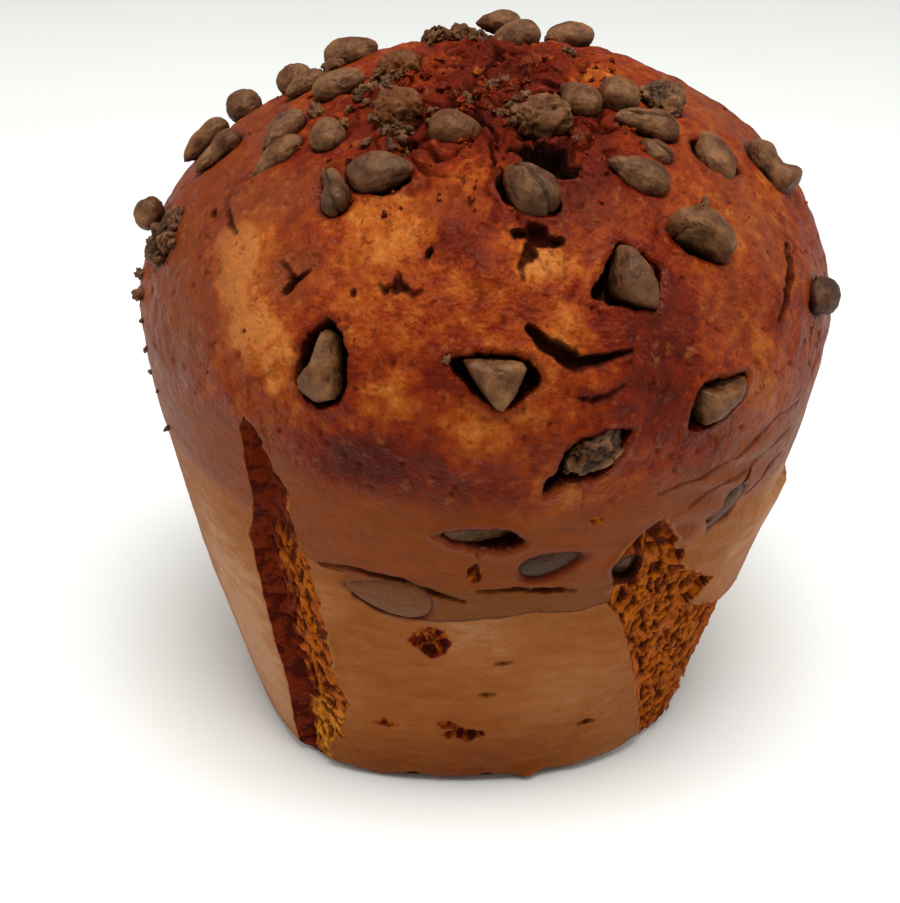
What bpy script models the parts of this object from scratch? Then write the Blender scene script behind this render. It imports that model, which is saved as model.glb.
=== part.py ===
"""A chocolate chip muffin, baked in a folded paper case that has been peeled off.

The loaf is one closed solid that stands on its flat base, and each chocolate chip is a solid of its own in
a pocket of the loaf. The tables are in millimetres and degrees, the model is in metres. The origin is the
centre of the base, +Z is up and the front is -Y.

A place on the loaf is an azimuth, counter-clockwise from +X as seen from above, and a distance from the
crown, measured down along the outline. A heading is 0 uphill and 90 towards a growing azimuth.
"""

import math
import random

import bmesh
import bpy
import numpy as np
from mathutils import Matrix, Vector

MM = 0.001
OBJECT_NAME = "muffin"
WELD_DISTANCE = 0.01

# The loaf's outline
BASE_RADIUS = 26.5
BASE_ROUNDING = 1.5
BELLY_RADIUS = 38.0
BELLY_HEIGHT = 48.0
TOTAL_HEIGHT = 75.0
WALL_CURVE = 1.37
WALL_ROWS = 10
DOME_ROWS = 11
COLUMNS = 48

# Uneven baking: the dome tips to one side and its shoulders are pressed in or pushed out
CROWN_TILT = 0.04
BASE_SHIFT = -0.5
LEAN_START = 20.0
SHOULDER_HEIGHT = 60.0
SHOULDER_SPREAD = 11.0
SHOULDER_WIDTH = 45.0
SHOULDERS = ((45.0, -1.0), (160.0, 0.5))

# The case was folded from a square sheet, so the wall has four blunt corners that fade out upwards
FOLDS = ((-125.0, 2.5), (-38.0, 0.6), (50.0, 1.5), (140.0, 1.5))
FOLD_WIDTH = 22.0
FOLD_TOP = 38.0

# The crust hangs over the papered wall by a shallow lip
LIP_HEIGHT = 29.5
LIP_DEPTH = 0.4
LIP_BLEND = 3.0

# Lumps of the burst crown and slow waves of the whole dome, as (height, wavelength in x, wavelength in y)
BURST_REACH = 15.0
BURST_LUMPS = ((0.7, 10.0, 11.5), (0.4, 6.5, 8.0))
DOME_WAVES = ((0.35, 30.0, 26.0),)
DOME_BLEND = 10.0
WAVE_PHASE = 1.0
CROWN_FADE = 19.0

# Half the step that gives a direction on the loaf: along its outline, and round it in degrees
STEP_ALONG = 0.8
STEP_ROUND = 1.6

# Chips
CHIP_LENGTH = 6.8
CHIP_WIDTH = 4.3
CHIP_SEGMENTS = 7
CHIP_RINGS = 5
CHIP_TAPER = 0.9
TAPER_SAMPLES = 60
CRUMBLE = 0.18
GAP = 0.35

# Chips that show at the front: name, azimuth, crown distance, heading, sink, length, width, margin.
# Sink is the depth of the chip's middle, and margin is how far its baked-out pocket stands clear of it.
CHIPS = (
    ("shoulder_a", 146.0, 19.0, 140.0, -0.9, 6.2, 4.0, 0.0),
    ("shoulder_b", 163.0, 22.5, 100.0, -0.9, 5.0, 3.8, 0.0),
    ("shoulder_c", 177.0, 20.5, -15.0, -0.5, 5.0, 2.8, 0.0),
    ("shoulder_d", 163.0, 29.5, 90.0, -1.1, 5.0, 4.0, 0.0),
    ("shoulder_e", 173.0, 33.5, -20.0, -0.8, 6.6, 3.0, 0.0),
    ("shoulder_f", -172.0, 31.0, -10.0, -0.3, 6.2, 2.8, 0.0),
    ("shoulder_g", -157.0, 24.0, -20.0, -0.5, 6.0, 3.0, 0.0),
    ("shoulder_h", -150.0, 26.5, 5.0, 0.1, 6.8, 2.8, 0.0),
    ("shoulder_i", -140.0, 22.0, 125.0, -0.5, 4.6, 3.6, 0.0),
    ("shoulder_j", -126.5, 27.5, 135.0, -0.3, 6.2, 3.2, 0.0),
    ("shoulder_k", -117.5, 24.5, -110.0, -0.3, 6.6, 4.2, 0.8),
    ("shoulder_l", -177.5, 41.5, 60.0, -1.3, 4.2, 3.8, 0.0),
    ("shoulder_m", -163.0, 40.0, 165.0, -0.3, 6.4, 2.8, 0.0),
    ("shoulder_n", -168.0, 16.5, 180.0, -0.6, 5.8, 3.4, 0.0),
    ("crown_a", 118.0, 14.0, 20.0, -0.7, 3.6, 3.0, 0.0),
    ("crown_b", 113.0, 9.0, 70.0, -0.6, 4.2, 3.2, 0.0),
    ("crown_c", 88.0, 12.0, -90.0, -1.9, 5.2, 3.0, 0.0),
    ("crown_d", 68.0, 6.0, -110.0, -0.9, 6.0, 3.8, 0.0),
    ("crown_e", 52.0, 14.5, 55.0, -0.8, 5.4, 4.0, 0.0),
    ("crown_f", -103.0, 17.0, -95.0, 0.5, 5.6, 4.2, 0.0),
    ("crown_g", -72.0, 15.5, -160.0, -0.5, 6.2, 5.0, 0.5),
    ("crown_h", -129.0, 16.0, 105.0, 0.2, 5.6, 4.2, 0.5),
    ("crown_i", -172.0, 10.5, 10.0, 0.0, 5.4, 4.0, 0.5),
    ("right_a", -52.0, 13.5, -175.0, -0.3, 6.0, 3.4, 0.0),
    ("right_b", -38.0, 15.5, -130.0, -0.5, 4.8, 4.2, 0.0),
    ("right_c", -23.0, 18.5, 145.0, -0.5, 5.2, 4.4, 0.0),
    ("right_d", -42.0, 20.5, 140.0, -0.4, 6.8, 3.4, 0.0),
    ("right_e", -46.0, 23.6, 165.0, 0.3, 3.8, 2.4, 0.0),
    ("right_f", -56.0, 25.5, 135.0, -0.2, 6.4, 3.6, 0.4),
    ("right_g", -31.0, 27.0, -150.0, 0.1, 6.2, 3.6, 0.9),
    ("right_h", -13.5, 32.0, 5.0, -0.8, 6.8, 3.8, 0.0),
    ("right_i", -82.5, 26.0, 150.0, -0.1, 6.4, 4.8, 0.8),
    ("right_j", -50.5, 33.5, -60.0, 0.1, 6.4, 4.0, 0.8),
    ("right_k", -66.5, 36.0, 10.0, 0.5, 6.6, 5.4, 1.0),
    ("right_l", -25.0, 45.0, 90.0, -0.8, 4.4, 4.0, 0.0),
    ("front_a", -115.5, 45.0, -15.0, 0.9, 7.2, 4.4, 0.9),
    ("front_b", -89.5, 44.5, -80.0, 1.0, 7.0, 4.8, 0.8),
    ("front_c", -53.5, 49.5, 85.0, 0.9, 6.4, 4.4, 0.9),
    ("front_d", -74.5, 52.5, 50.0, 1.0, 7.0, 4.2, 0.8),
    ("side_a", -90.0, 62.0, -85.0, 0.9, 8.4, 3.2, 0.5),
    ("side_b", -78.5, 65.5, -105.0, 0.7, 7.2, 3.2, 0.0),
    ("side_c", -65.5, 68.0, 15.0, 1.2, 4.6, 3.8, 0.8),
    ("side_d", -46.0, 64.0, 45.0, 0.7, 6.4, 2.6, 0.0),
    ("side_e", -105.5, 71.0, 95.0, 0.4, 9.6, 5.2, 0.0),
)
BENT_CHIPS = {"chip_right_h": 0.8, "chip_right_j": -0.9}
CRUMBLED_CHIPS = ("crown_a", "crown_b", "crown_g", "crown_h", "crown_i", "right_c", "shoulder_m")

# Chips at the back: golden-angle steps round the hidden side, farther and deeper down the loaf one by one
BACK_CHIPS = 12
BACK_MIDDLE = 88.0
BACK_HALF_SPREAD = 60.0
BACK_NEAREST = 20.0
BACK_FARTHEST = 58.0
BACK_SIDE_DROP = 22.0
BACK_SINK = (-0.8, 1.0)
BACK_LENGTHS = (0.9, 1.0, 1.1)
BACK_WIDTHS = (0.88, 0.94, 1.0, 1.06)
BACK_MARGIN = 0.9
BACK_POCKETS_FROM = 7
GOLDEN_ANGLE = 137.508

# Crumb holes in crust and wall: name, azimuth, crown distance, heading, length, width, depth
HOLES = (
    ("crown_hollow", -75.0, 22.8, 90.0, 6.4, 5.2, 5.0),
    ("crown_pit", -117.0, 19.5, 60.0, 3.6, 3.0, 3.0),
    ("front_pit", -82.0, 32.5, -35.0, 4.4, 2.6, 2.6),
    ("left_pit", -125.0, 37.8, 0.0, 3.0, 2.2, 2.4),
    ("middle_pit", -105.5, 37.3, 90.0, 4.2, 1.8, 1.8),
    ("wall_pit_a", -98.2, 77.5, 90.0, 4.6, 4.2, 1.8),
    ("wall_pit_b", -91.2, 92.0, 90.0, 5.4, 2.4, 2.0),
    ("wall_pit_c", -90.5, 68.0, 0.0, 3.4, 2.6, 1.6),
)

# Cracks: name, start and end as (azimuth, crown distance), width, depth
CRACKS = (
    ("front_crack", (-84.5, 39.8), (-77.0, 43.8), 2.4, 2.0),
    ("front_crack_end", (-77.5, 43.8), (-70.0, 43.2), 1.6, 1.6),
    ("right_crack", (-29.5, 38.0), (-41.0, 44.2), 1.6, 1.4),
)
CRACK_OVERRUN = 1.1
HOLE_RINGS = 6

# The skin is torn off along the left fold, from the belly down to the base
GROOVE_TOP = 48.5
GROOVE_BOTTOM = -3.0
GROOVE_AZIMUTH = -127.5
GROOVE_DRIFT = 4.5
GROOVE_RADIUS = 3.3
GROOVE_OUTSET = 0.9
GROOVE_TAPER = 0.55
GROOVE_POINTS = 9

# The skin is torn off over a patch at the right fold, which narrows and turns to the right on its way down.
# Its edges are azimuths at the bottom and at the top, and the left edge turns sooner on the way up.
PATCH_LEFT = (-47.0, -64.5)
PATCH_RIGHT = (-30.0, -47.0)
PATCH_LEFT_RATE = 1.4
PATCH_RIGHT_RATE = 2.0
PATCH_HEIGHTS = (4.0, 37.0)
PATCH_LOWEST = 2.0
PATCH_DEPTH = 1.4
PATCH_CLEARANCE = 3.0
PATCH_RAGGED = 1.6
PATCH_TEETH = 17.0
PATCH_CUTS = 4

CRUST_COLOUR = (0.36, 0.12, 0.035, 1.0)
CRUST_ROUGHNESS = 0.6
CHOCOLATE_COLOUR = (0.085, 0.05, 0.032, 1.0)
CHOCOLATE_ROUGHNESS = 0.5


def smooth(x):
    """A smooth step from 0 to 1."""
    x = min(max(x, 0.0), 1.0)
    return x * x * (3.0 - 2.0 * x)


def bump(azimuth, centre, width):
    """A bell of height 1 round the loaf."""
    away = (azimuth - centre + 180.0) % 360.0 - 180.0
    return math.exp(-((away / width) ** 2))


def wall_radius(height):
    """The wall widens from the base and stands upright at the belly."""
    drop = max(1.0 - height / BELLY_HEIGHT, 0.0) ** WALL_CURVE
    return BELLY_RADIUS - (BELLY_RADIUS - BASE_RADIUS) * drop


def outline():
    """(radius, height) from the crown down the dome and the wall to the base's edge."""
    points = []
    for i in range(DOME_ROWS):
        angle = math.radians(90.0 * (1.0 - i / DOME_ROWS))
        height = BELLY_HEIGHT + (TOTAL_HEIGHT - BELLY_HEIGHT) * math.sin(angle)
        points.append((BELLY_RADIUS * math.cos(angle), height))
    for i in range(WALL_ROWS):
        height = BELLY_HEIGHT + (BASE_ROUNDING - BELLY_HEIGHT) * i / (WALL_ROWS - 1)
        points.append((wall_radius(height), height))
    points.append((BASE_RADIUS - BASE_ROUNDING, 0.0))
    return points


OUTLINE = np.array(outline())
OUTLINE_DISTANCE = np.concatenate([[0.0], np.cumsum(np.hypot(*np.diff(OUTLINE, axis=0).T))])


def waves(x, y, table):
    """The sum of a table of crossed waves."""
    total = 0.0
    for height, length_x, length_y in table:
        total += height * math.sin(math.tau * x / length_x + WAVE_PHASE) * math.cos(math.tau * y / length_y)
    return total


def loaf_point(azimuth, radius, height):
    """Where a point of the turned outline ends up once folds, lip, lean and lumps are put on."""
    low = smooth(1.0 - height / FOLD_TOP)
    shoulder = math.exp(-(((height - SHOULDER_HEIGHT) / SHOULDER_SPREAD) ** 2))
    push = sum(depth * low * bump(azimuth, centre, FOLD_WIDTH) for centre, depth in FOLDS)
    push += sum(depth * shoulder * bump(azimuth, centre, SHOULDER_WIDTH) for centre, depth in SHOULDERS)
    push -= LIP_DEPTH * smooth((LIP_HEIGHT - height) / LIP_BLEND) * smooth(height / LIP_BLEND)
    reach = radius + push * min(1.0, radius / CROWN_FADE)
    x = reach * math.cos(math.radians(azimuth))
    y = reach * math.sin(math.radians(azimuth))
    dome = smooth((height - BELLY_HEIGHT) / DOME_BLEND)
    burst = math.exp(-((radius / BURST_REACH) ** 2))
    lump = dome * (burst * waves(x, y, BURST_LUMPS) + waves(x, y, DOME_WAVES))
    high = min(max((height - LEAN_START) / (TOTAL_HEIGHT - LEAN_START), 0.0), 1.0)
    return Vector((x + BASE_SHIFT * (1.0 - high), y, height + CROWN_TILT * x * high + lump))


def place(azimuth, distance):
    """The point of the loaf at an azimuth and a crown distance."""
    radius = float(np.interp(distance, OUTLINE_DISTANCE, OUTLINE[:, 0]))
    height = float(np.interp(distance, OUTLINE_DISTANCE, OUTLINE[:, 1]))
    return loaf_point(azimuth, radius, height)


def wall_place(azimuth, height):
    """The point of the wall at an azimuth and a height."""
    return loaf_point(azimuth, wall_radius(height), height)


def surface_frame(azimuth, distance):
    """Position, uphill direction, sideways direction and outward normal at a place on the loaf."""
    uphill = (place(azimuth, distance - STEP_ALONG) - place(azimuth, distance + STEP_ALONG)).normalized()
    side = (place(azimuth + STEP_ROUND, distance) - place(azimuth - STEP_ROUND, distance)).normalized()
    normal = side.cross(uphill).normalized()
    side = uphill.cross(normal)
    return place(azimuth, distance), uphill, side, normal


def pose(azimuth, distance, heading, sink=0.0):
    """A matrix that lays a shape's Z axis along a heading on the loaf, with its Y axis pointing out."""
    origin, uphill, side, normal = surface_frame(azimuth, distance)
    turn = math.radians(heading)
    along = uphill * math.cos(turn) + side * math.sin(turn)
    across = normal.cross(along)
    axes = Matrix((across, normal, along)).transposed().to_4x4()
    return Matrix.Translation((origin - normal * sink) * MM) @ axes


def material(name, colour, roughness):
    """A plain Principled material."""
    made = bpy.data.materials.new(name)
    made.use_nodes = True
    shader = made.node_tree.nodes["Principled BSDF"]
    shader.inputs["Base Color"].default_value = colour
    shader.inputs["Roughness"].default_value = roughness
    made.diffuse_color = colour
    return made


def collection(name):
    made = bpy.data.collections.new(name)
    bpy.context.scene.collection.children.link(made)
    return made


def add_object(name, mesh, home):
    made = bpy.data.objects.new(name, mesh)
    home.objects.link(made)
    return made


def turned_loaf():
    """The outline turned round Z with a Screw modifier, closed below by one flat face, as a plain mesh."""
    profile = bpy.data.meshes.new("loaf_outline")
    points = [(radius * MM, 0.0, height * MM) for radius, height in OUTLINE]
    profile.from_pydata(points, [(i, i + 1) for i in range(len(points) - 1)], [])
    lathe = add_object("loaf_outline", profile, bpy.context.scene.collection)
    screw = lathe.modifiers.new("turn", "SCREW")
    screw.steps = COLUMNS
    screw.render_steps = COLUMNS
    screw.use_merge_vertices = True
    screw.merge_threshold = WELD_DISTANCE * MM
    bpy.context.view_layer.update()
    mesh = bpy.data.meshes.new_from_object(lathe.evaluated_get(bpy.context.evaluated_depsgraph_get()))
    bpy.data.objects.remove(lathe)
    shape = bmesh.new()
    shape.from_mesh(mesh)
    bmesh.ops.holes_fill(shape, edges=[edge for edge in shape.edges if edge.is_boundary], sides=0)
    bmesh.ops.recalc_face_normals(shape, faces=shape.faces)
    shape.to_mesh(mesh)
    shape.free()
    return mesh


def add_loaf(home):
    """The body: the turned outline with every point moved to its place on the uneven loaf."""
    mesh = turned_loaf()
    for vertex in mesh.vertices:
        x, y, z = vertex.co / MM
        if z > WELD_DISTANCE:
            vertex.co = loaf_point(math.degrees(math.atan2(y, x)), math.hypot(x, y), z) * MM
    mesh.shade_smooth()
    mesh.materials.append(material("crust", CRUST_COLOUR, CRUST_ROUGHNESS))
    return add_object("muffin_body", mesh, home)


def sphere(rings):
    """A coarse sphere of radius 1, to be shaped."""
    shape = bmesh.new()
    bmesh.ops.create_uvsphere(shape, u_segments=CHIP_SEGMENTS, v_segments=rings, radius=1.0)
    return shape


def finish(name, shape):
    """The shaped bmesh as a smooth mesh."""
    mesh = bpy.data.meshes.new(name)
    shape.to_mesh(mesh)
    shape.free()
    mesh.shade_smooth()
    return mesh


def teardrop(name, length, width, skin=0.0, bend=0.0, knobs=None):
    """A chip along Z: a sphere drawn out to a tip at +Z. Skin thickens it, and knobs makes it crumbled."""
    shape = sphere(CHIP_RINGS)
    angles = np.linspace(0.0, math.pi, TAPER_SAMPLES)
    widest = max(math.sin(angle) * math.sin(angle / 2.0) ** CHIP_TAPER for angle in angles)
    for vertex in shape.verts:
        x, y, z = vertex.co
        polar = math.acos(min(max(z, -1.0), 1.0))
        knob = 1.0 + (knobs.uniform(-CRUMBLE, CRUMBLE) if knobs else 0.0)
        spread = width / 2.0 * math.sin(polar / 2.0) ** CHIP_TAPER / widest * knob + skin
        vertex.co = Vector((x * spread, y * spread - bend * (z * z - 0.5), z * (length / 2.0 + skin))) * MM
    return finish(name, shape)


def ellipsoid(name, length, width, depth):
    """A smooth lump with its length along Z, its width along X and its depth along Y."""
    shape = sphere(HOLE_RINGS)
    half = Vector((width, depth, length)) * (MM / 2.0)
    for vertex in shape.verts:
        vertex.co = vertex.co * half
    return finish(name, shape)


def add_cutter(name, mesh, matrix, cutters):
    """A wire shape that the loaf is cut with."""
    cutter = add_object(name, mesh, cutters)
    cutter.matrix_world = matrix
    cutter.hide_render = True
    cutter.display_type = "WIRE"


def add_chip(name, spot, size, margin, chocolate, home, cutters):
    """A chip and its pocket. Both draw their knobs from the chip's name, so they have the same shape."""
    length, width = size
    bend = BENT_CHIPS.get(name, 0.0)
    crumbled = name.removeprefix("chip_") in CRUMBLED_CHIPS
    mesh = teardrop(name, length, width, 0.0, bend, random.Random(name) if crumbled else None)
    mesh.materials.append(chocolate)
    chip = add_object(name, mesh, home)
    chip.matrix_world = pose(*spot)
    pocket_name = name + "_pocket"
    skin = max(margin, GAP)
    pocket = teardrop(pocket_name, length, width, skin, bend, random.Random(name) if crumbled else None)
    add_cutter(pocket_name, pocket, chip.matrix_world, cutters)


def add_front_chips(chocolate, home, cutters):
    for name, azimuth, distance, heading, sink, length, width, margin in CHIPS:
        spot = (azimuth, distance, heading, sink)
        add_chip("chip_" + name, spot, (length, width), margin, chocolate, home, cutters)


def add_back_chips(chocolate, home, cutters):
    """The hidden side carries chips like those at the front, from the crown down to the wall."""
    for i in range(BACK_CHIPS):
        share = i / (BACK_CHIPS - 1)
        turn = (i * GOLDEN_ANGLE) % 360.0
        aside = turn / 180.0 - 1.0
        azimuth = BACK_MIDDLE + BACK_HALF_SPREAD * aside
        nearest = BACK_NEAREST + BACK_SIDE_DROP * abs(aside)
        distance = nearest + (BACK_FARTHEST - nearest) * share
        sink = BACK_SINK[0] + (BACK_SINK[1] - BACK_SINK[0]) * share
        length = CHIP_LENGTH * BACK_LENGTHS[i % len(BACK_LENGTHS)]
        width = CHIP_WIDTH * BACK_WIDTHS[i % len(BACK_WIDTHS)]
        margin = BACK_MARGIN if i >= BACK_POCKETS_FROM else 0.0
        spot = (azimuth, distance, turn * 2.0, sink)
        add_chip("chip_back_%02d" % (i + 1), spot, (length, width), margin, chocolate, home, cutters)


def add_holes(cutters):
    for name, azimuth, distance, heading, length, width, depth in HOLES:
        hole = ellipsoid(name, length, width, depth * 2.0)
        add_cutter(name, hole, pose(azimuth, distance, heading), cutters)


def add_cracks(cutters):
    """Each crack is a long ellipsoid between two places on the loaf."""
    for name, start, end, width, depth in CRACKS:
        azimuth = (start[0] + end[0]) / 2.0
        distance = (start[1] + end[1]) / 2.0
        uphill, side = surface_frame(azimuth, distance)[1:3]
        run = place(*end) - place(*start)
        heading = math.degrees(math.atan2(run.dot(side), run.dot(uphill)))
        crack = ellipsoid(name, run.length * CRACK_OVERRUN, width, depth * 2.0)
        add_cutter(name, crack, pose(azimuth, distance, heading), cutters)


def add_groove(cutters):
    """The torn fold: a tube that follows the wall and tapers upwards, as a welded mesh."""
    curve = bpy.data.curves.new("torn_groove", "CURVE")
    curve.dimensions = "3D"
    curve.bevel_depth = GROOVE_RADIUS * MM
    curve.bevel_resolution = 1
    curve.use_fill_caps = True
    line = curve.splines.new("POLY")
    line.points.add(GROOVE_POINTS - 1)
    for i, point in enumerate(line.points):
        share = i / (GROOVE_POINTS - 1)
        height = GROOVE_BOTTOM + (GROOVE_TOP - GROOVE_BOTTOM) * share
        drift = GROOVE_DRIFT * math.sin(math.pi * share) ** 2
        wall = wall_place(GROOVE_AZIMUTH + drift, max(height, 0.0))
        outward = Vector((wall.x, wall.y, 0.0)).normalized() * GROOVE_OUTSET
        point.co = (*((Vector((wall.x, wall.y, height)) + outward) * MM), 1.0)
        point.radius = 1.0 - GROOVE_TAPER * share**3
    tube = add_object("torn_groove_tube", curve, cutters)
    bpy.context.view_layer.update()
    mesh = bpy.data.meshes.new_from_object(tube.evaluated_get(bpy.context.evaluated_depsgraph_get()))
    bpy.data.objects.remove(tube)
    shape = bmesh.new()
    shape.from_mesh(mesh)
    bmesh.ops.remove_doubles(shape, verts=shape.verts, dist=WELD_DISTANCE * MM)
    bmesh.ops.recalc_face_normals(shape, faces=shape.faces)
    shape.to_mesh(mesh)
    shape.free()
    add_cutter("torn_groove", mesh, Matrix(), cutters)


def add_torn_patch(cutters):
    """A block bent round the wall, with ragged sides, that lowers the wall by the depth of the skin."""
    shape = bmesh.new()
    bmesh.ops.create_cube(shape, size=1.0)
    long_edges = [edge for edge in shape.edges if abs(edge.verts[0].co.y - edge.verts[1].co.y) < 0.5]
    bmesh.ops.subdivide_edges(shape, edges=long_edges, cuts=PATCH_CUTS, use_grid_fill=True)
    for vertex in shape.verts:
        across = vertex.co.x + 0.5
        up = vertex.co.z + 0.5
        jag = PATCH_RAGGED * math.sin(PATCH_TEETH * (up + across))
        left = PATCH_LEFT[0] + (PATCH_LEFT[1] - PATCH_LEFT[0]) * smooth(PATCH_LEFT_RATE * up)
        right = PATCH_RIGHT[0] + (PATCH_RIGHT[1] - PATCH_RIGHT[0]) * smooth(PATCH_RIGHT_RATE * up - 1.0)
        height = PATCH_HEIGHTS[0] + (PATCH_HEIGHTS[1] - PATCH_HEIGHTS[0]) * up
        wall = wall_place(left + (right - left) * across + jag, max(height + jag, PATCH_LOWEST))
        outward = Vector((wall.x, wall.y, 0.0)).normalized()
        vertex.co = (wall + outward * (PATCH_CLEARANCE if vertex.co.y < 0.0 else -PATCH_DEPTH)) * MM
    add_cutter("torn_patch", finish("torn_patch", shape), Matrix(), cutters)


def clear_scene():
    for old in list(bpy.data.objects):
        bpy.data.objects.remove(old)


def main():
    clear_scene()
    home = collection(OBJECT_NAME)
    cutters = collection("cutters")
    chocolate = material("chocolate", CHOCOLATE_COLOUR, CHOCOLATE_ROUGHNESS)
    loaf = add_loaf(home)
    add_front_chips(chocolate, home, cutters)
    add_back_chips(chocolate, home, cutters)
    add_holes(cutters)
    add_cracks(cutters)
    add_groove(cutters)
    add_torn_patch(cutters)
    cut = loaf.modifiers.new("pockets", "BOOLEAN")
    cut.operation = "DIFFERENCE"
    cut.operand_type = "COLLECTION"
    cut.collection = cutters
    cut.solver = "EXACT"


main()
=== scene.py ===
"""The looks of a chocolate chip muffin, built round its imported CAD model.

The loaf is one dense skin, worked out from the CAD's own outline and split into dome, band and foot. Chips take
their place and size from the CAD nodes that they replace. Tables are in millimetres and degrees: a place is an
azimuth, counter-clockwise from +X, and a distance from the crown along the outline.
"""

import itertools
import math
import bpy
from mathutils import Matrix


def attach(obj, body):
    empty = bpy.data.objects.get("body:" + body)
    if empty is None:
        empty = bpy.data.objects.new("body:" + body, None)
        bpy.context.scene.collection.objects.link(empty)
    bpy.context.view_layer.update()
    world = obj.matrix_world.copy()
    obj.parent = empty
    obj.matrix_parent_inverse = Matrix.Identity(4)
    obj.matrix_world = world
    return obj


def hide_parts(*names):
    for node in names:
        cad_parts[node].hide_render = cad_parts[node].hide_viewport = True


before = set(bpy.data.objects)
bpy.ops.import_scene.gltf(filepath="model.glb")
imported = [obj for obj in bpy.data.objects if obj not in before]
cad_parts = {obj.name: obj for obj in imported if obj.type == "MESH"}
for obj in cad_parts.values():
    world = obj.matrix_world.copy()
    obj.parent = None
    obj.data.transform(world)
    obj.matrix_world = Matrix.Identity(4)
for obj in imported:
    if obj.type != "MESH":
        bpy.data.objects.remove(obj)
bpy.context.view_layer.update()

import zlib
from types import SimpleNamespace

import bmesh
import bpy
import numpy as np
from mathutils import Matrix, Vector
from mathutils.kdtree import KDTree

MM = 0.001

# The loaf's outline and its unevenness, as in the CAD
BASE_RADIUS = 26.5
BASE_ROUNDING = 1.5
BELLY_RADIUS = 38.0
BELLY_HEIGHT = 48.0
TOTAL_HEIGHT = 75.0
WALL_CURVE = 1.37
CROWN_TILT = 0.04
BASE_SHIFT = -0.5
LEAN_START = 20.0
SHOULDER_HEIGHT = 60.0
SHOULDER_SPREAD = 11.0
SHOULDER_WIDTH = 45.0
SHOULDERS = ((45.0, -1.0), (160.0, 0.5))
FOLDS = ((-125.0, 2.5), (-38.0, 0.6), (50.0, 1.5), (140.0, 1.5))
FOLD_WIDTH = 22.0
FOLD_TOP = 38.0
BURST_REACH = 15.0
BURST_LUMPS = ((0.7, 10.0, 11.5), (0.4, 6.5, 8.0))
DOME_WAVES = ((0.35, 30.0, 26.0),)
DOME_BLEND = 10.0
WAVE_PHASE = 1.0
CROWN_FADE = 19.0

# The skin's grid: square rings on the dome, then rows down the wall, closer together at the front
RINGS = 112
BAND_STEP = 0.44
WALL_STEP = 0.44
BASE_RINGS = 7
BACK_AZIMUTH = 90.0
FRONT_CROWDING = 0.3
OUTLINE_STEPS = 90


def smooth(x):
    """A smooth step from 0 to 1."""
    x = np.clip(x, 0.0, 1.0)
    return x * x * (3.0 - 2.0 * x)


def bump(azimuth, centre, width):
    """A bell of height 1 round the loaf."""
    away = (azimuth - centre + 180.0) % 360.0 - 180.0
    return np.exp(-((away / width) ** 2))


def wall_radius(height):
    drop = np.maximum(1.0 - height / BELLY_HEIGHT, 0.0) ** WALL_CURVE
    return BELLY_RADIUS - (BELLY_RADIUS - BASE_RADIUS) * drop


def outline():
    """(radius, height) from the crown down the dome and the wall, then in to the middle of the base."""
    angle = np.linspace(math.pi / 2.0, 0.0, OUTLINE_STEPS, endpoint=False)
    dome = np.stack([BELLY_RADIUS * np.cos(angle), BELLY_HEIGHT + (TOTAL_HEIGHT - BELLY_HEIGHT) * np.sin(angle)], 1)
    height = np.linspace(BELLY_HEIGHT, BASE_ROUNDING, OUTLINE_STEPS)
    wall = np.stack([wall_radius(height), height], 1)
    turn = np.radians([30.0, 60.0, 90.0])
    edge = BASE_ROUNDING * np.stack([np.cos(turn) - 1.0, 1.0 - np.sin(turn)], 1) + [BASE_RADIUS, 0.0]
    return np.concatenate([dome, wall, edge, [[0.0, 0.0]]])


OUTLINE = outline()
OUTLINE_DISTANCE = np.concatenate([[0.0], np.cumsum(np.hypot(*np.diff(OUTLINE, axis=0).T))])
BELLY_DISTANCE = OUTLINE_DISTANCE[OUTLINE_STEPS]
BASE_DISTANCE = OUTLINE_DISTANCE[-2]
CENTRE_DISTANCE = OUTLINE_DISTANCE[-1]


def at_height(height):
    """The crown distance of a height on the wall."""
    wall = slice(OUTLINE_STEPS, len(OUTLINE) - 1)
    return np.interp(height, OUTLINE[wall, 1][::-1], OUTLINE_DISTANCE[wall][::-1])


def waves(x, y, table):
    total = 0.0
    for height, length_x, length_y in table:
        total = total + height * np.sin(math.tau * x / length_x + WAVE_PHASE) * np.cos(math.tau * y / length_y)
    return total


def loaf(azimuth, distance):
    """Points of the loaf, in mm, at azimuths and crown distances."""
    radius = np.interp(distance, OUTLINE_DISTANCE, OUTLINE[:, 0])
    height = np.interp(distance, OUTLINE_DISTANCE, OUTLINE[:, 1])
    low = smooth(1.0 - height / FOLD_TOP)
    shoulder = np.exp(-(((height - SHOULDER_HEIGHT) / SHOULDER_SPREAD) ** 2))
    push = sum(depth * low * bump(azimuth, centre, FOLD_WIDTH) for centre, depth in FOLDS)
    push = push + sum(depth * shoulder * bump(azimuth, centre, SHOULDER_WIDTH) for centre, depth in SHOULDERS)
    reach = radius + push * np.minimum(1.0, radius / CROWN_FADE)
    x = reach * np.cos(np.radians(azimuth))
    y = reach * np.sin(np.radians(azimuth))
    dome = smooth((height - BELLY_HEIGHT) / DOME_BLEND)
    burst = np.exp(-((radius / BURST_REACH) ** 2))
    lump = dome * (burst * waves(x, y, BURST_LUMPS) + waves(x, y, DOME_WAVES))
    high = np.clip((height - LEAN_START) / (TOTAL_HEIGHT - LEAN_START), 0.0, 1.0)
    return np.stack([x + BASE_SHIFT * (1.0 - high), y, height + CROWN_TILT * x * high + lump], -1)


def unit(vectors):
    return vectors / np.maximum(np.linalg.norm(vectors, axis=-1, keepdims=True), 1e-9)


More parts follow.
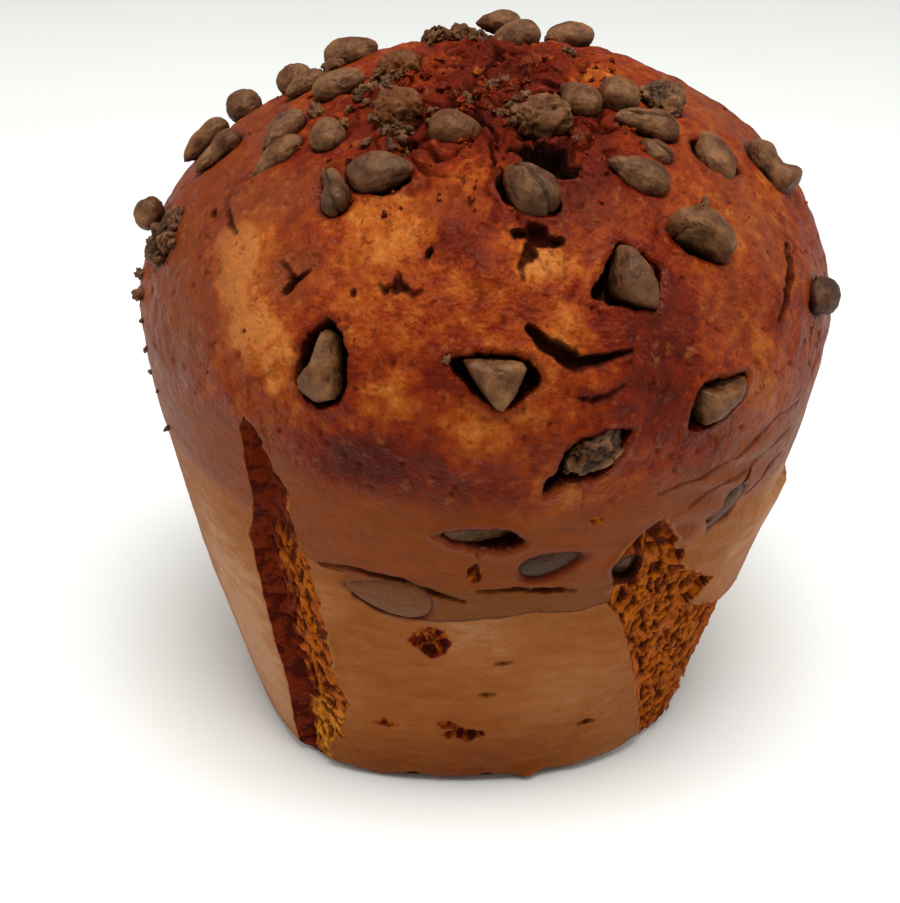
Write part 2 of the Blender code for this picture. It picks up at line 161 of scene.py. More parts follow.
def spot(azimuth, distance):
    """Origin, rightward, uphill and outward directions at one place of the loaf."""
    origin = loaf(azimuth, distance)
    uphill = unit(loaf(azimuth, distance - 0.8) - loaf(azimuth, distance + 0.8))
    right = unit(loaf(azimuth + 1.6, distance) - loaf(azimuth - 1.6, distance))
    outward = unit(np.cross(right, uphill))
    return origin, np.cross(uphill, outward), uphill, outward


# Noise

LEANS = unit(np.random.default_rng(7).normal(size=(256, 3)))


def hashed(cell, seed):
    """A repeatable whole number of 30 bits for each whole-number cell."""
    mixed = cell[..., 0] * 374761393 + cell[..., 1] * 668265263 + cell[..., 2] * 2147483647 + seed * 1274126177
    mixed = (mixed ^ (mixed >> 13)) * 1103515245
    mixed = (mixed ^ (mixed >> 16)) * 362437
    return (mixed ^ (mixed >> 15)) & 0x3FFFFFFF


def noise(points, size, seed=0):
    """Gradient noise from about -1 to 1, whose lumps are about that size."""
    scaled = points / size
    cell = np.floor(scaled).astype(np.int64)
    inside = scaled - cell
    blend = inside**3 * (inside * (inside * 6.0 - 15.0) + 10.0)
    total = np.zeros(len(points))
    for corner in itertools.product((0, 1), repeat=3):
        corner = np.array(corner)
        lean = LEANS[hashed(cell + corner, seed) & 255]
        share = np.prod(np.where(corner == 1, blend, 1.0 - blend), axis=-1)
        total += share * np.sum(lean * (inside - corner), axis=-1)
    return total * 1.5


def fractal(points, size, octaves, seed=0):
    """Noise with finer and weaker noise on top."""
    return sum(noise(points, size / 2.0**i, seed + i) / 2.0**i for i in range(octaves))


def cells(points, size, seed=0):
    """Distance in mm to the nearest of points strewn one to a cell, and that point's own random number."""
    scaled = points / size
    home = np.floor(scaled).astype(np.int64)
    nearest = np.full(len(points), 9.0)
    own = np.zeros(len(points))
    for step in itertools.product((-1, 0, 1), repeat=3):
        cell = home + np.array(step)
        number = hashed(cell, seed)
        strewn = np.stack([(number >> shift) & 1023 for shift in (0, 10, 20)], -1) / 1023.0
        distance = np.linalg.norm(cell - scaled + strewn, axis=-1)
        closer = distance < nearest
        nearest = np.where(closer, distance, nearest)
        own = np.where(closer, strewn[..., 0] * 7.0 % 1.0, own)
    return nearest * size, own


# The grid of the skin


def dome_grid():
    """Square rings round the crown: each vertex's azimuth and ring, the quads, and the outermost ring in order."""
    side = np.arange(-RINGS, RINGS + 1)
    i, j = (part.ravel() for part in np.meshgrid(side, side, indexing="ij"))
    ring = np.maximum(abs(i), abs(j))
    step = np.select(
        [(i == ring) & (j < ring), (j == ring) & (i > -ring), (i == -ring) & (j > -ring)],
        [j + ring, 3 * ring - i, 5 * ring - j],
        7 * ring + i,
    )
    azimuth = -45.0 + 45.0 * step / np.maximum(ring, 1)
    index = np.arange(len(i)).reshape(len(side), len(side))
    quads = np.stack([index[:-1, :-1], index[1:, :-1], index[1:, 1:], index[:-1, 1:]], -1).reshape(-1, 4)
    outer = np.flatnonzero(ring == RINGS)
    return azimuth, ring, quads, outer[np.argsort(step[outer])]


def skin_grid():
    """Azimuths and crown distances of all vertices, all quads, the part that each quad is in, and the last row."""
    azimuth, ring, quads, outer = dome_grid()
    distance = BELLY_DISTANCE * ring / RINGS
    columns = len(outer)
    round_the_belly = azimuth[outer]
    seam = at_height(SEAM_HEIGHT)
    band = np.linspace(BELLY_DISTANCE, seam, int((seam - BELLY_DISTANCE) / BAND_STEP))[1:]
    wall = np.linspace(seam, BASE_DISTANCE, int((BASE_DISTANCE - seam) / WALL_STEP))[1:]
    base = CENTRE_DISTANCE - BASE_RADIUS * np.linspace(0.92, 0.04, BASE_RINGS)
    rows = np.concatenate([band, wall, base])
    upper = outer
    parts = [np.zeros(len(quads), int)]
    for row, row_distance in enumerate(rows):
        lower = len(azimuth) + np.arange(columns)
        azimuth = np.concatenate([azimuth, round_the_belly])
        distance = np.concatenate([distance, np.full(columns, row_distance)])
        quads = np.concatenate([quads, np.stack([upper, lower, np.roll(lower, -1), np.roll(upper, -1)], -1)])
        parts.append(np.full(columns, 1 if row < len(band) else 2))
        upper = lower
    azimuth = azimuth + np.degrees(FRONT_CROWDING * np.sin(np.radians(azimuth - BACK_AZIMUTH)))
    azimuth = (azimuth + 180.0) % 360.0 - 180.0
    return azimuth, distance, quads, np.concatenate(parts), upper


def halfway(a, b):
    """The azimuth halfway between two azimuths."""
    middle = a + ((b - a + 180.0) % 360.0 - 180.0) / 2.0
    return (middle + 180.0) % 360.0 - 180.0


def refine(azimuth, distance, quads, parts, chosen):
    """Splits each chosen quad into four. Neighbours of a split quad become polygons with the new corners."""
    count = len(azimuth)
    following = np.roll(quads, -1, axis=1)
    edges = np.minimum(quads, following) * count + np.maximum(quads, following)
    split = np.unique(edges[chosen])
    start, end = split // count, split % count
    corners = quads[chosen]
    azimuth = np.concatenate([
        azimuth, halfway(azimuth[start], azimuth[end]), halfway(azimuth[corners[:, 0]], azimuth[corners[:, 2]]),
    ])
    distance = np.concatenate([distance, (distance[start] + distance[end]) / 2.0, distance[corners].mean(axis=1)])
    found = np.minimum(np.searchsorted(split, edges), len(split) - 1)
    is_split = split[found] == edges
    middles = count + found
    hub = count + len(split) + np.arange(len(corners))
    new = [
        np.stack([corners[:, side], middles[chosen, side], hub, middles[chosen, side - 1]], -1) for side in range(4)
    ]
    beside = ~chosen & is_split.any(axis=1)
    polygons = []
    for quad, splits, middle in zip(quads[beside].tolist(), is_split[beside].tolist(), middles[beside].tolist()):
        polygon = []
        for side in range(4):
            polygon.append(quad[side])
            if splits[side]:
                polygon.append(middle[side])
        polygons.append(polygon)
    kept = ~chosen & ~beside
    quads = np.concatenate([quads[kept], *new])
    quad_parts = np.concatenate([parts[kept], *[parts[chosen]] * 4])
    return azimuth, distance, quads, quad_parts, polygons, parts[beside]


def as_triangles(quads, polygons):
    fans = [(face[0], face[i], face[i + 1]) for face in polygons for i in range(1, len(face) - 1)]
    return np.concatenate([quads[:, [0, 1, 2]], quads[:, [0, 2, 3]], np.array(fans, int).reshape(-1, 3)])


def cell_sizes(points, triangles):
    """The mean length of the triangles' sides at each vertex."""
    start = np.concatenate([triangles, np.roll(triangles, -1, axis=1)]).ravel()
    end = np.concatenate([np.roll(triangles, -1, axis=1), triangles]).ravel()
    length = np.linalg.norm(points[start] - points[end], axis=-1)
    return np.bincount(start, length, len(points)) / np.maximum(np.bincount(start, minlength=len(points)), 1)


def vertex_normals(points, triangles):
    """Area-weighted normals."""
    first, second, third = (points[triangles[:, corner]] for corner in range(3))
    facing = np.cross(second - first, third - first)
    total = np.zeros_like(points)
    for corner in range(3):
        for axis in range(3):
            total[:, axis] += np.bincount(triangles[:, corner], facing[:, axis], len(points))
    return unit(total)


# Edges that run round the loaf, as (azimuth, height). Between its rows an edge is straight.
SEAM_HEIGHT = 24.0
BAND_EDGE = (
    (-180, 37.5), (-150, 37.0), (-135, 36.0), (-122, 33.0), (-116.8, 31.3), (-112.6, 31.0), (-111.8, 28.0),
    (-106.5, 26.4), (-101.5, 26.2), (-94.8, 26.3), (-88.8, 26.8), (-82.8, 27.3), (-80.0, 27.8), (-74.2, 27.0),
    (-67.0, 27.7), (-60, 31.0), (-50, 34.8), (-30, 35.4), (0, 36.0), (60, 37.5), (120, 36.0), (180, 37.5),
)
CRUST_EDGE = (
    (-180, 45), (-142, 45.5), (-130, 45.8), (-113, 41.5), (-89.5, 41), (-73, 40.5), (-56, 42), (-40, 44),
    (-24.5, 45), (20, 44), (80, 46), (130, 44), (180, 45),
)
# Torn places, as the azimuths of their left and right edge at heights from the top down
GROOVE_HEIGHTS = (47.8, 45.8, 41.9, 39.5, 36.6, 31.5, 23.0, 14.8, 11.4, 5.8, 4.0, 0.0)
GROOVE_LEFT = (-128.0, -129.2, -129.4, -129.3, -129.2, -132.0, -131.3, -130.0, -129.6, -130.8, -131.3, -131.8)
GROOVE_RIGHT = (-127.6, -125.6, -123.2, -121.6, -121.0, -120.5, -118.2, -117.2, -115.4, -118.4, -121.8, -122.5)
PATCH_HEIGHTS = (37.6, 36.4, 35.0, 33.6, 31.1, 27.8, 26.4, 25.4, 23.4, 22.0, 19.6, 18.4, 15.6, 7.5, 1.6, 0.0)
PATCH_LEFT = (-61.6, -64.2, -66.2, -67.6, -67.8, -67.3, -66.0, -64.6, -62.8, -61.6, -60.0, -59.2, -56.8, -50.2,
              -44.5, -43.0)
PATCH_RIGHT = (-61.2, -59.2, -57.6, -56.5, -54.0, -49.8, -45.0, -40.5, -46.0, -44.5, -32.5, -18.0, -6.0, -3.0,
               -2.0, -2.0)
GROOVE_DEPTH = 2.2
GROOVE_SHALLOW = 0.5
PATCH_DEPTH = 1.1
TEAR_SHARPNESS = 0.16
SKIN_THICKNESS = 0.4
WALL_REACH = 1.4

# Open cracks: places along each with its half-width there, then the depth
CRACKS = (
    ("front crack", ((-84.4, 39.7, 0.25), (-81.4, 41.4, 0.65), (-77.6, 43.2, 0.7), (-72.8, 43.2, 0.28),
                     (-69.0, 42.9, 0.12)), 1.7),
    ("smile", ((-77.2, 46.4, 0.1), (-75.5, 46.9, 0.22), (-72.8, 46.7, 0.18), (-70.6, 46.0, 0.1)), 0.5),
    ("right crack", ((-29.3, 38.4, 0.15), (-33.0, 40.4, 0.3), (-37.0, 42.4, 0.4), (-40.2, 44.4, 0.12)), 1.2),
    ("star arm left", ((-128.4, 36.1, 0.04), (-126.4, 36.6, 0.16), (-124.8, 37.4, 0.24)), 0.9),
    ("star arm right", ((-122.2, 35.9, 0.04), (-123.4, 36.6, 0.16), (-124.6, 37.4, 0.26)), 0.9),
    ("star arm down", ((-124.7, 37.4, 0.5), (-125.0, 38.6, 0.28)), 1.4),
    ("zigzag a", ((-108.8, 36.2, 0.06), (-107.6, 36.9, 0.22), (-106.8, 36.4, 0.14), (-105.8, 36.5, 0.4)), 0.7),
    ("zigzag b", ((-105.9, 35.0, 0.08), (-105.4, 36.3, 0.5), (-104.0, 36.5, 0.16), (-103.0, 37.0, 0.24),
                  (-101.6, 36.5, 0.08)), 0.7),
    ("left nick", ((-148.8, 33.4, 0.16), (-145.4, 34.3, 0.26), (-141.2, 35.2, 0.12)), 0.6),
    ("left pinhole", ((-152.8, 34.4, 0.22), (-151.6, 34.6, 0.16)), 0.5),
    ("pit tail", ((-84.0, 32.2, 0.25), (-85.4, 34.0, 0.22), (-85.0, 35.3, 0.06)), 0.8),
    ("fold a", ((-63.0, 58.6, 0.03), (-55.8, 57.9, 0.09), (-49.0, 57.3, 0.05), (-43.2, 56.1, 0.1),
                (-37.0, 54.9, 0.05), (-30.5, 55.1, 0.02)), 0.32),
    ("fold b", ((-56.0, 61.4, 0.03), (-50.0, 60.0, 0.09), (-43.0, 59.8, 0.05), (-36.0, 58.2, 0.08),
                (-31.0, 58.4, 0.02)), 0.3),
    ("fold c", ((-41.0, 63.6, 0.04), (-36.0, 61.6, 0.1), (-31.5, 61.2, 0.03)), 0.35),
    ("crown line a", ((-104.0, 10.8, 0.12), (-92.5, 17.0, 0.3)), 0.6),
    ("crown line b", ((-70.0, 6.0, 0.15), (-50.0, 11.0, 0.25)), 0.5),
    ("crease a", ((-117.0, 68.1, 0.05), (-112.0, 67.6, 0.1), (-103.0, 68.2, 0.24), (-98.0, 69.2, 0.22),
                  (-92.4, 70.3, 0.05)), 0.9),
    ("crease b", ((-90.4, 68.8, 0.06), (-84.0, 68.6, 0.16), (-78.0, 69.0, 0.2), (-74.2, 69.4, 0.05)), 0.9),
    ("slit a", ((-86.2, 80.2, 0.05), (-84.8, 80.0, 0.14), (-83.4, 80.0, 0.05)), 0.5),
    ("slit b", ((-88.8, 85.2, 0.05), (-87.4, 85.1, 0.16), (-86.0, 85.1, 0.05)), 0.5),
    ("slit c", ((-66.2, 92.2, 0.08), (-64.5, 91.6, 0.28), (-62.8, 92.0, 0.06)), 0.5),
    ("rim slit", ((-49.5, 64.6, 0.35), (-46.2, 63.0, 0.3), (-42.5, 60.2, 0.12)), 0.7),
)
# Crumb holes: place, half-width, half-height, depth
HOLES = (
    (-101.4, 32.7, 0.45, 0.5, 1.4),
    (-112.8, 37.3, 0.3, 0.35, 0.5),
    (-82.4, 31.0, 1.3, 1.2, 1.6),
    (-85.4, 30.8, 0.8, 0.6, 1.2),
    (-79.2, 31.9, 0.9, 0.5, 1.2),
    (-83.8, 33.0, 0.6, 0.9, 1.0),
    (-98.2, 76.9, 2.2, 2.1, 0.7),
    (-91.6, 91.8, 2.0, 0.95, 0.8),
    (-94.4, 90.6, 1.2, 0.55, 0.6),
    (-107.8, 91.0, 1.25, 0.5, 0.5),
    (-100.2, 71.4, 0.7, 0.75, 0.9),
    (-91.0, 66.2, 0.8, 1.2, 0.5),
    (-73.0, 60.3, 0.7, 0.5, 0.5),
    (-90.4, 63.8, 0.4, 0.4, 0.4),
    (-138.0, 5.8, 1.1, 0.8, 1.0),
    (-100.8, 9.1, 0.9, 0.7, 0.8),
    (-115.5, 20.2, 1.2, 1.3, 2.4),
)
HOLE_RAGGED = 0.6
HOLE_CORNERS = 14

# Chips whose outline is more than a drop: its corners, rightwards and uphill of the chip's middle
CHIP_PLANS = {
    "front_a": ((-0.4, 3.6), (0.7, 3.3), (1.5, 0.4), (1.9, -2.6), (0.2, -3.5), (-2.0, -2.6), (-2.2, -1.6),
                (-0.9, 0.6)),
    "front_b": ((-3.0, 2.0), (2.6, 1.9), (3.1, 1.2), (1.9, -1.6), (0.9, -2.9), (0.2, -2.6), (-1.8, 0.0)),
    "front_c": ((-2.6, 1.5), (0.4, 1.1), (2.2, 1.2), (3.2, 1.9), (3.0, 0.4), (1.4, -1.0), (-0.6, -2.0),
                (-2.2, -2.2), (-2.4, -0.4)),
    "right_j": ((-3.2, 1.9), (-1.8, 2.9), (0.2, 2.9), (2.0, 1.6), (3.2, -0.9), (2.6, -2.6), (1.4, -3.2), (0.6, -2.0),
                (-0.7, -0.4), (-1.8, 0.6), (-3.0, 0.5)),
    "right_k": ((-0.5, 3.3), (0.4, 3.0), (1.7, 0.6), (2.1, -1.4), (1.6, -3.3), (0.4, -2.8), (-1.9, -1.2),
                (-1.7, 0.4)),
}
# Baked-out pockets round chips: corners rightwards and uphill of the chip's middle, and the depth
POCKETS = {
    "front_a": (((-0.2, 4.9), (0.9, 4.2), (2.2, 2.8), (3.2, -0.6), (2.6, -3.2), (0.4, -4.0), (-2.3, -2.6),
                 (-2.5, 0.0), (-2.1, 2.6)), 3.0),
    "front_b": (((-4.9, 2.0), (-1.2, 2.5), (2.9, 2.4), (4.2, 1.2), (4.4, -0.2), (1.0, -3.2), (-2.9, -0.2)), 2.8),
    "front_c": (((-2.8, 2.3), (1.0, 1.9), (3.6, 2.2), (2.6, -0.2), (0.2, -2.0), (-2.2, -2.8), (-4.4, -2.5),
                 (-3.9, -0.4)), 3.2),
    "front_d": (((-2.6, 1.6), (1.0, 2.4), (3.8, 2.4), (2.9, 0.8), (1.2, -2.2), (-2.2, -2.9), (-5.2, -4.4),
                 (-3.6, -1.0)), 2.4),
    "right_k": (((-0.5, 3.9), (1.2, 2.8), (3.2, 0.4), (2.4, -2.2), (1.4, -3.6), (-1.8, -2.6), (-5.0, -1.1),
                 (-2.8, 1.0)), 3.0),
    "right_j": (((-3.2, 0.6), (-2.0, -1.2), (-0.4, -2.4), (1.2, -3.4), (2.4, -2.2), (2.6, 0.0), (0.2, 2.0)), 2.6),
    "right_i": (((-3.5, 1.2), (-2.6, -1.6), (0.2, -3.0), (2.9, -2.9), (2.8, 0.6), (0.6, 2.6), (-2.0, 2.6)), 2.6),
    "right_g": (((-2.9, 1.2), (-2.4, -1.2), (0.4, -2.9), (2.3, -3.0), (1.6, 0.2), (-0.2, 2.8), (-1.8, 2.4)), 2.4),
    "shoulder_k": (((-3.6, 1.4), (-3.8, -1.4), (-2.0, -2.6), (2.0, -2.4), (3.6, 0.2), (2.0, 1.8)), 1.8),
    "side_a": (((-4.9, 0.4), (-2.4, 1.2), (0.6, 1.6), (3.0, 1.2), (4.4, 0.0), (2.6, -1.2), (-0.6, -1.0)), 2.2),
    "side_c": (((-1.8, 0.6), (-0.9, 2.1), (1.2, 2.2), (1.8, 0.4), (0.9, -1.8), (-1.0, -1.6)), 2.6),
}
CROWN_HOLLOW = (-75.5, 22.4, ((-4.2, 3.9), (-1.2, 3.6), (2.4, 1.9), (2.9, -1.2), (0.8, -2.6), (-2.4, -1.0)), 4.0)
POCKET_SHARPNESS = 0.3
CHIP_SEAT = 0.3


def circle_spots(table, points):
    """How much each point is within a table of soft round patches on the loaf, from 0 to 1."""
    total = np.zeros(len(points))
    for azimuth, distance, radius in table:
        away = np.linalg.norm(points - loaf(azimuth, distance), axis=-1)
        total = np.maximum(total, smooth(1.5 - away / radius))
    return total


def crack_line(steps):
    """A crack's places in mm and its half-widths, with a finer wandering line between the given places."""
    table = np.array(steps)
    share = np.linspace(0.0, len(steps) - 1.0, 6 * len(steps) - 5)
    azimuth, distance, half = (np.interp(share, np.arange(len(steps)), column) for column in table.T)
    places = loaf(azimuth, distance)
    stray = 0.34 * np.stack([noise(places, 1.3, 90 + axis) for axis in range(3)], -1)
    ends = np.minimum(share, len(steps) - 1.0 - share).clip(0.0, 1.0)
    return places + stray * ends[:, None], half * (1.0 + 0.5 * noise(places, 0.9, 95))


def to_line(points, places, halves):
    """Each point's nearest point on a line of places, and the line's half-width there."""
    best = np.full(len(points), 1e9)
    nearest = np.zeros_like(points)
    width = np.zeros(len(points))
    for start, end, half_a, half_b in zip(places, places[1:], halves, halves[1:]):
        run = end - start
        share = np.clip((points - start) @ run / (run @ run), 0.0, 1.0)
        found = start + share[:, None] * run
        away = np.linalg.norm(points - found, axis=-1)
        closer = away < best
        best = np.where(closer, away, best)
        nearest = np.where(closer[:, None], found, nearest)
        width = np.where(closer, half_a + (half_b - half_a) * share, width)
    return nearest, best, width


def near_line(points, places):
    middle = (places[0] + places[-1]) / 2.0
    reach = np.linalg.norm(places - middle, axis=-1).max() + 2.0
    return np.linalg.norm(points - middle, axis=-1) < reach


def snap_cracks(points, outward, cell):
    """Moves the vertices nearest to a crack's middle line or to its lip there, along the surface."""
    for name, steps, depth in CRACKS:
        places, halves = crack_line(steps)
        near = near_line(points, places)
        nearest, away, width = to_line(points[near], places, halves)
        step = nearest - points[near]
        step -= np.sum(step * outward[near], -1)[:, None] * outward[near]
        wide = width > cell[near] * 0.8
        lip = np.where(wide, width + 0.16, 0.0)
        off = away - lip
        moves = abs(off) < cell[near] * np.where(wide, 0.45, 0.5)
        points[near] += step * (moves * off / np.maximum(away, 1e-6))[:, None]
    return points


def crack_depths(points):
    """How deep each point lies in the cracks, in mm, and how much painted shade they put on it, from 0 to 1."""
    depth = np.zeros(len(points))
    dark = np.zeros(len(points))
    for name, steps, crack_depth in CRACKS:
        places, halves = crack_line(steps)
        near = near_line(points, places)
        nearest, away, width = to_line(points[near], places, halves)
        narrow = np.minimum(1.0, 0.35 + width / 0.4)
        found = crack_depth * narrow * smooth((width + 0.16 - away) / 0.32)
        depth[near] = np.maximum(depth[near], found)
        dark[near] = np.maximum(dark[near], narrow * smooth((width + 0.3 - away) / 0.2))
    return depth, dark


def rough_outline(corners, ragged, seed):
    """A closed outline with its corners rounded off and its sides roughened."""
    points = np.array(corners, float)
    for turn in range(2):
        following = np.roll(points, -1, axis=0)
        points = np.stack([0.8 * points + 0.2 * following, 0.2 * points + 0.8 * following], 1).reshape(-1, 2)
    fine = []
    for start, end in zip(points, np.roll(points, -1, axis=0)):
        count = max(1, int(np.hypot(*(end - start)) / 0.3))
        fine += [start + (end - start) * step / count for step in range(count)]
    fine = np.array(fine)
    flat = np.column_stack([fine, np.full(len(fine), seed * 0.77)])
    stray = np.stack([noise(flat, 1.1, seed), noise(flat, 1.1, seed + 1)], -1)
    stray += 0.5 * np.stack([noise(flat, 0.5, seed + 2), noise(flat, 0.5, seed + 3)], -1)
    return fine + ragged * stray


def to_outline(x, y, corners):
    """Signed distance to a closed outline, below 0 inside, and the nearest point on it."""
    nearest = np.full(len(x), 99.0)
    inside = np.zeros(len(x), bool)
    on_x, on_y = x.copy(), y.copy()
    for (ax, ay), (bx, by) in zip(corners, np.roll(corners, -1, axis=0)):
        run_x, run_y = bx - ax, by - ay
        share = np.clip(((x - ax) * run_x + (y - ay) * run_y) / max(run_x**2 + run_y**2, 1e-9), 0.0, 1.0)
        found_x, found_y = ax + share * run_x, ay + share * run_y
        away = np.hypot(x - found_x, y - found_y)
        closer = away < nearest
        nearest = np.where(closer, away, nearest)
        on_x = np.where(closer, found_x, on_x)
        on_y = np.where(closer, found_y, on_y)
        crosses = (ay > y) != (by > y)
        where = ax + (y - ay) / (by - ay if by != ay else 1e-9) * run_x
        inside ^= crosses & (x < where)
    return np.where(inside, -nearest, nearest), on_x, on_y


def outline_spots(chips):
    """Every opening with an outline: its kind, key, middle, rightward and upward directions, outline and depth."""
    found = []
    for name, chip in chips.items():
        seed = name_seed(name)
        if name in POCKETS:
            right, uphill = uphill_frame(chip["middle"])
            corners, depth = POCKETS[name]
            found.append(("pocket", chip["middle"], right, uphill, rough_outline(corners, 0.3, seed), depth))
        else:
            plan = chip_plan(name, chip)
            found.append(("seat", chip["middle"], chip["across"], chip["along"], np.array(plan), 0.0))
    for seed, (azimuth, distance, half_wide, half_high, depth) in enumerate(HOLES):
        origin, right, uphill, away = spot(azimuth, distance)
        turn = np.linspace(0.0, math.tau, HOLE_CORNERS, endpoint=False)
        corners = np.stack([half_wide * np.cos(turn), half_high * np.sin(turn)], 1)
        ragged = HOLE_RAGGED * min(1.0, half_wide)
        found.append(("hole", origin, right, uphill, rough_outline(corners, ragged, 200 + seed * 9), depth))
    azimuth, distance, corners, depth = CROWN_HOLLOW
    origin, right, uphill, away = spot(azimuth, distance)
    found.append(("hollow", origin, right, uphill, rough_outline(corners, 0.8, 170), depth))
    return found


def near_outline(points, origin, outline):
    return np.linalg.norm(points - origin, axis=-1) < np.hypot(*outline.T).max() + 2.5


def snap_outlines(points, spots, cell):
    """Moves the vertices nearest to an opening's edge onto it, along the surface."""
    for kind, origin, right, uphill, outline, depth in spots:
        if kind == "seat":
            continue
        near = near_outline(points, origin, outline)
        local = points[near] - origin
        x, y = local @ right, local @ uphill
        edge, on_x, on_y = to_outline(x, y, outline)
        moves = abs(edge) < cell[near] * 0.5
        step = (on_x - x)[:, None] * right + (on_y - y)[:, None] * uphill
        points[near] += step * moves[:, None]
    return points


# The chips' places, read from the CAD


def name_seed(name):
    return zlib.crc32(name.encode()) % 9973


def chip_facts(name):
    """Middle, tip direction, length and half-width of a CAD chip, in mm."""
    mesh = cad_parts[name].data
    flat = np.empty(len(mesh.vertices) * 3)
    mesh.vertices.foreach_get("co", flat)
    points = np.unique(np.round(flat.reshape(-1, 3) / MM, 3), axis=0)
    gaps = np.linalg.norm(points[:, None] - points[None], axis=-1)
    first, second = np.unravel_index(np.argmax(gaps), gaps.shape)
    if gaps[first].mean() < gaps[second].mean():
        first, second = second, first
    axis = unit(points[first] - points[second])
    middle = (points[first] + points[second]) / 2.0
    off_axis = points - middle - ((points - middle) @ axis)[:, None] * axis
    return middle, axis, gaps[first, second], np.linalg.norm(off_axis, axis=-1).max()


def chip_frames(skin, outward):
    """For each chip node its facts, and the loaf's outward direction and surface point there."""
    frames = {}
    for name in sorted(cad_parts):
        if name.startswith("chip_"):
            middle, axis, length, half = chip_facts(name)
            nearest = np.argmin(np.linalg.norm(skin - middle, axis=-1))
            up = outward[nearest]
            along = unit(axis - (axis @ up) * up)
            frames[name.removeprefix("chip_")] = {
                "middle": middle, "axis": axis, "length": length, "half": half, "up": up, "along": along,
                "across": np.cross(up, along), "sink": float((skin[nearest] - middle) @ up),
            }
    return frames


def uphill_frame(middle):
    """Rightward and uphill directions at a point of the loaf."""
    azimuth = math.degrees(math.atan2(middle[1], middle[0]))
    distances = np.linspace(1.0, BASE_DISTANCE, 400)
    track = loaf(np.full(400, azimuth), distances)
    nearest = distances[np.argmin(np.linalg.norm(track - middle, axis=-1))]
    return spot(azimuth, nearest)[1:3]


DROP_TAPER = 0.9
DROP_ANGLES = np.linspace(0.0, math.pi, 25)
DROP_PROFILE = np.sin(DROP_ANGLES) * np.sin(DROP_ANGLES / 2.0) ** DROP_TAPER
DROP_PROFILE = DROP_PROFILE / DROP_PROFILE.max()


def drop_plan(length, half):
    """A drop's outline as corners (across, along), tip at +along."""
    along = length / 2.0 * np.cos(DROP_ANGLES)
    across = half * DROP_PROFILE
    corners = list(zip(across, along)) + list(zip(-across[-2:0:-1], along[-2:0:-1]))
    return [tuple(map(float, corner)) for corner in corners]


# The skin's relief and what it is made of, point by point

# Lighter and darker places of the baked crust: place, radius, and the change of tone
TONES = (
    (-138.2, 36.5, 3.4, 0.5), (-134.5, 39.8, 2.4, 0.5), (-129.5, 42.6, 2.6, 0.45), (-123.5, 44.0, 3.0, 0.35),
    (-112.0, 30.0, 4.5, 0.35), (-104.5, 33.8, 3.0, 0.1), (-80.8, 33.8, 2.4, 0.45), (-79.0, 40.3, 2.5, 0.35),
    (-96.5, 38.3, 5.0, 0.02), (-104.0, 47.3, 3.0, 0.25), (-92.8, 49.3, 3.2, 0.22), (-79.2, 55.8, 2.6, 0.25),
    (-22.2, 11.7, 4.0, 0.35), (-148.0, 8.0, 4.0, 0.3), (-43.2, 49.5, 4.0, 0.2), (-117.8, 48.4, 4.0, 0.1),
    (-85.0, 44.5, 3.0, 0.2), (-110.0, 40.0, 4.0, 0.15), (-70.0, 37.0, 2.4, 0.3), (-100.0, 24.5, 2.6, 0.2),
    (-112.8, 51.8, 4.0, -0.15), (-102.2, 53.0, 4.0, -0.4), (-108.2, 54.4, 3.0, -0.3), (-97.0, 45.0, 2.4, -0.25),
    (-63.5, 41.8, 5.0, -0.4), (-68.2, 49.4, 4.0, -0.25), (-73.5, 39.7, 2.6, -0.15), (-34.2, 47.9, 5.0, -0.1),
    (-96.8, 31.6, 2.0, -0.3), (-92.0, 33.6, 1.8, -0.3), (-36.0, 33.0, 9.0, 0.1), (-20.0, 18.0, 9.0, 0.12),
    (-96.0, 22.5, 4.0, 0.15), (-85.5, 53.3, 3.0, -0.1), (-60.5, 31.9, 4.0, -0.15),
    (-101.0, 10.0, 9.0, -0.2), (-77.0, 27.0, 3.6, -0.3), (-63.5, 23.2, 4.0, -0.2), (-140.0, 24.0, 4.0, -0.15),
    (-57.0, 55.0, 4.5, -0.25), (-92.0, 57.0, 4.0, -0.2), (-118.0, 56.0, 4.0, -0.1), (-108.0, 44.0, 2.0, -0.2),
    (100.0, 34.0, 6.0, 0.3), (60.0, 30.0, 5.0, 0.25), (140.0, 38.0, 6.0, 0.3), (20.0, 38.0, 5.0, 0.2),
    (80.0, 48.0, 6.0, -0.25), (120.0, 52.0, 6.0, -0.2), (10.0, 52.0, 6.0, -0.2), (40.0, 22.0, 6.0, -0.2),
)
# Smooth purple-brown places: place, radius, and strength
PURPLES = (
    (-145.0, 44.3, 8.0, 0.7), (-150.0, 50.0, 7.0, 0.6), (-125.8, 36.5, 3.0, 0.9), (-159.8, 41.1, 5.0, 0.8),
    (-144.0, 31.7, 4.0, 0.6), (-133.8, 28.8, 3.4, 0.6), (-98.0, 27.4, 2.4, 0.4), (-104.0, 27.2, 1.6, 0.3),
    (-50.0, 41.0, 3.0, 0.35), (-34.2, 36.9, 5.0, 0.5), (-33.8, 28.4, 4.0, 0.4), (-16.0, 46.0, 6.0, 0.6),
    (-48.0, 53.0, 4.0, 0.6), (-170.0, 30.0, 8.0, 0.7), (170.0, 44.0, 9.0, 0.8), (0.0, 28.0, 8.0, 0.6),
    (40.0, 44.0, 8.0, 0.7), (110.0, 46.0, 7.0, 0.7), (90.0, 22.0, 6.0, 0.4), (-124.0, 53.5, 3.0, 0.5),
    (-66.0, 29.0, 3.0, 0.25),
)
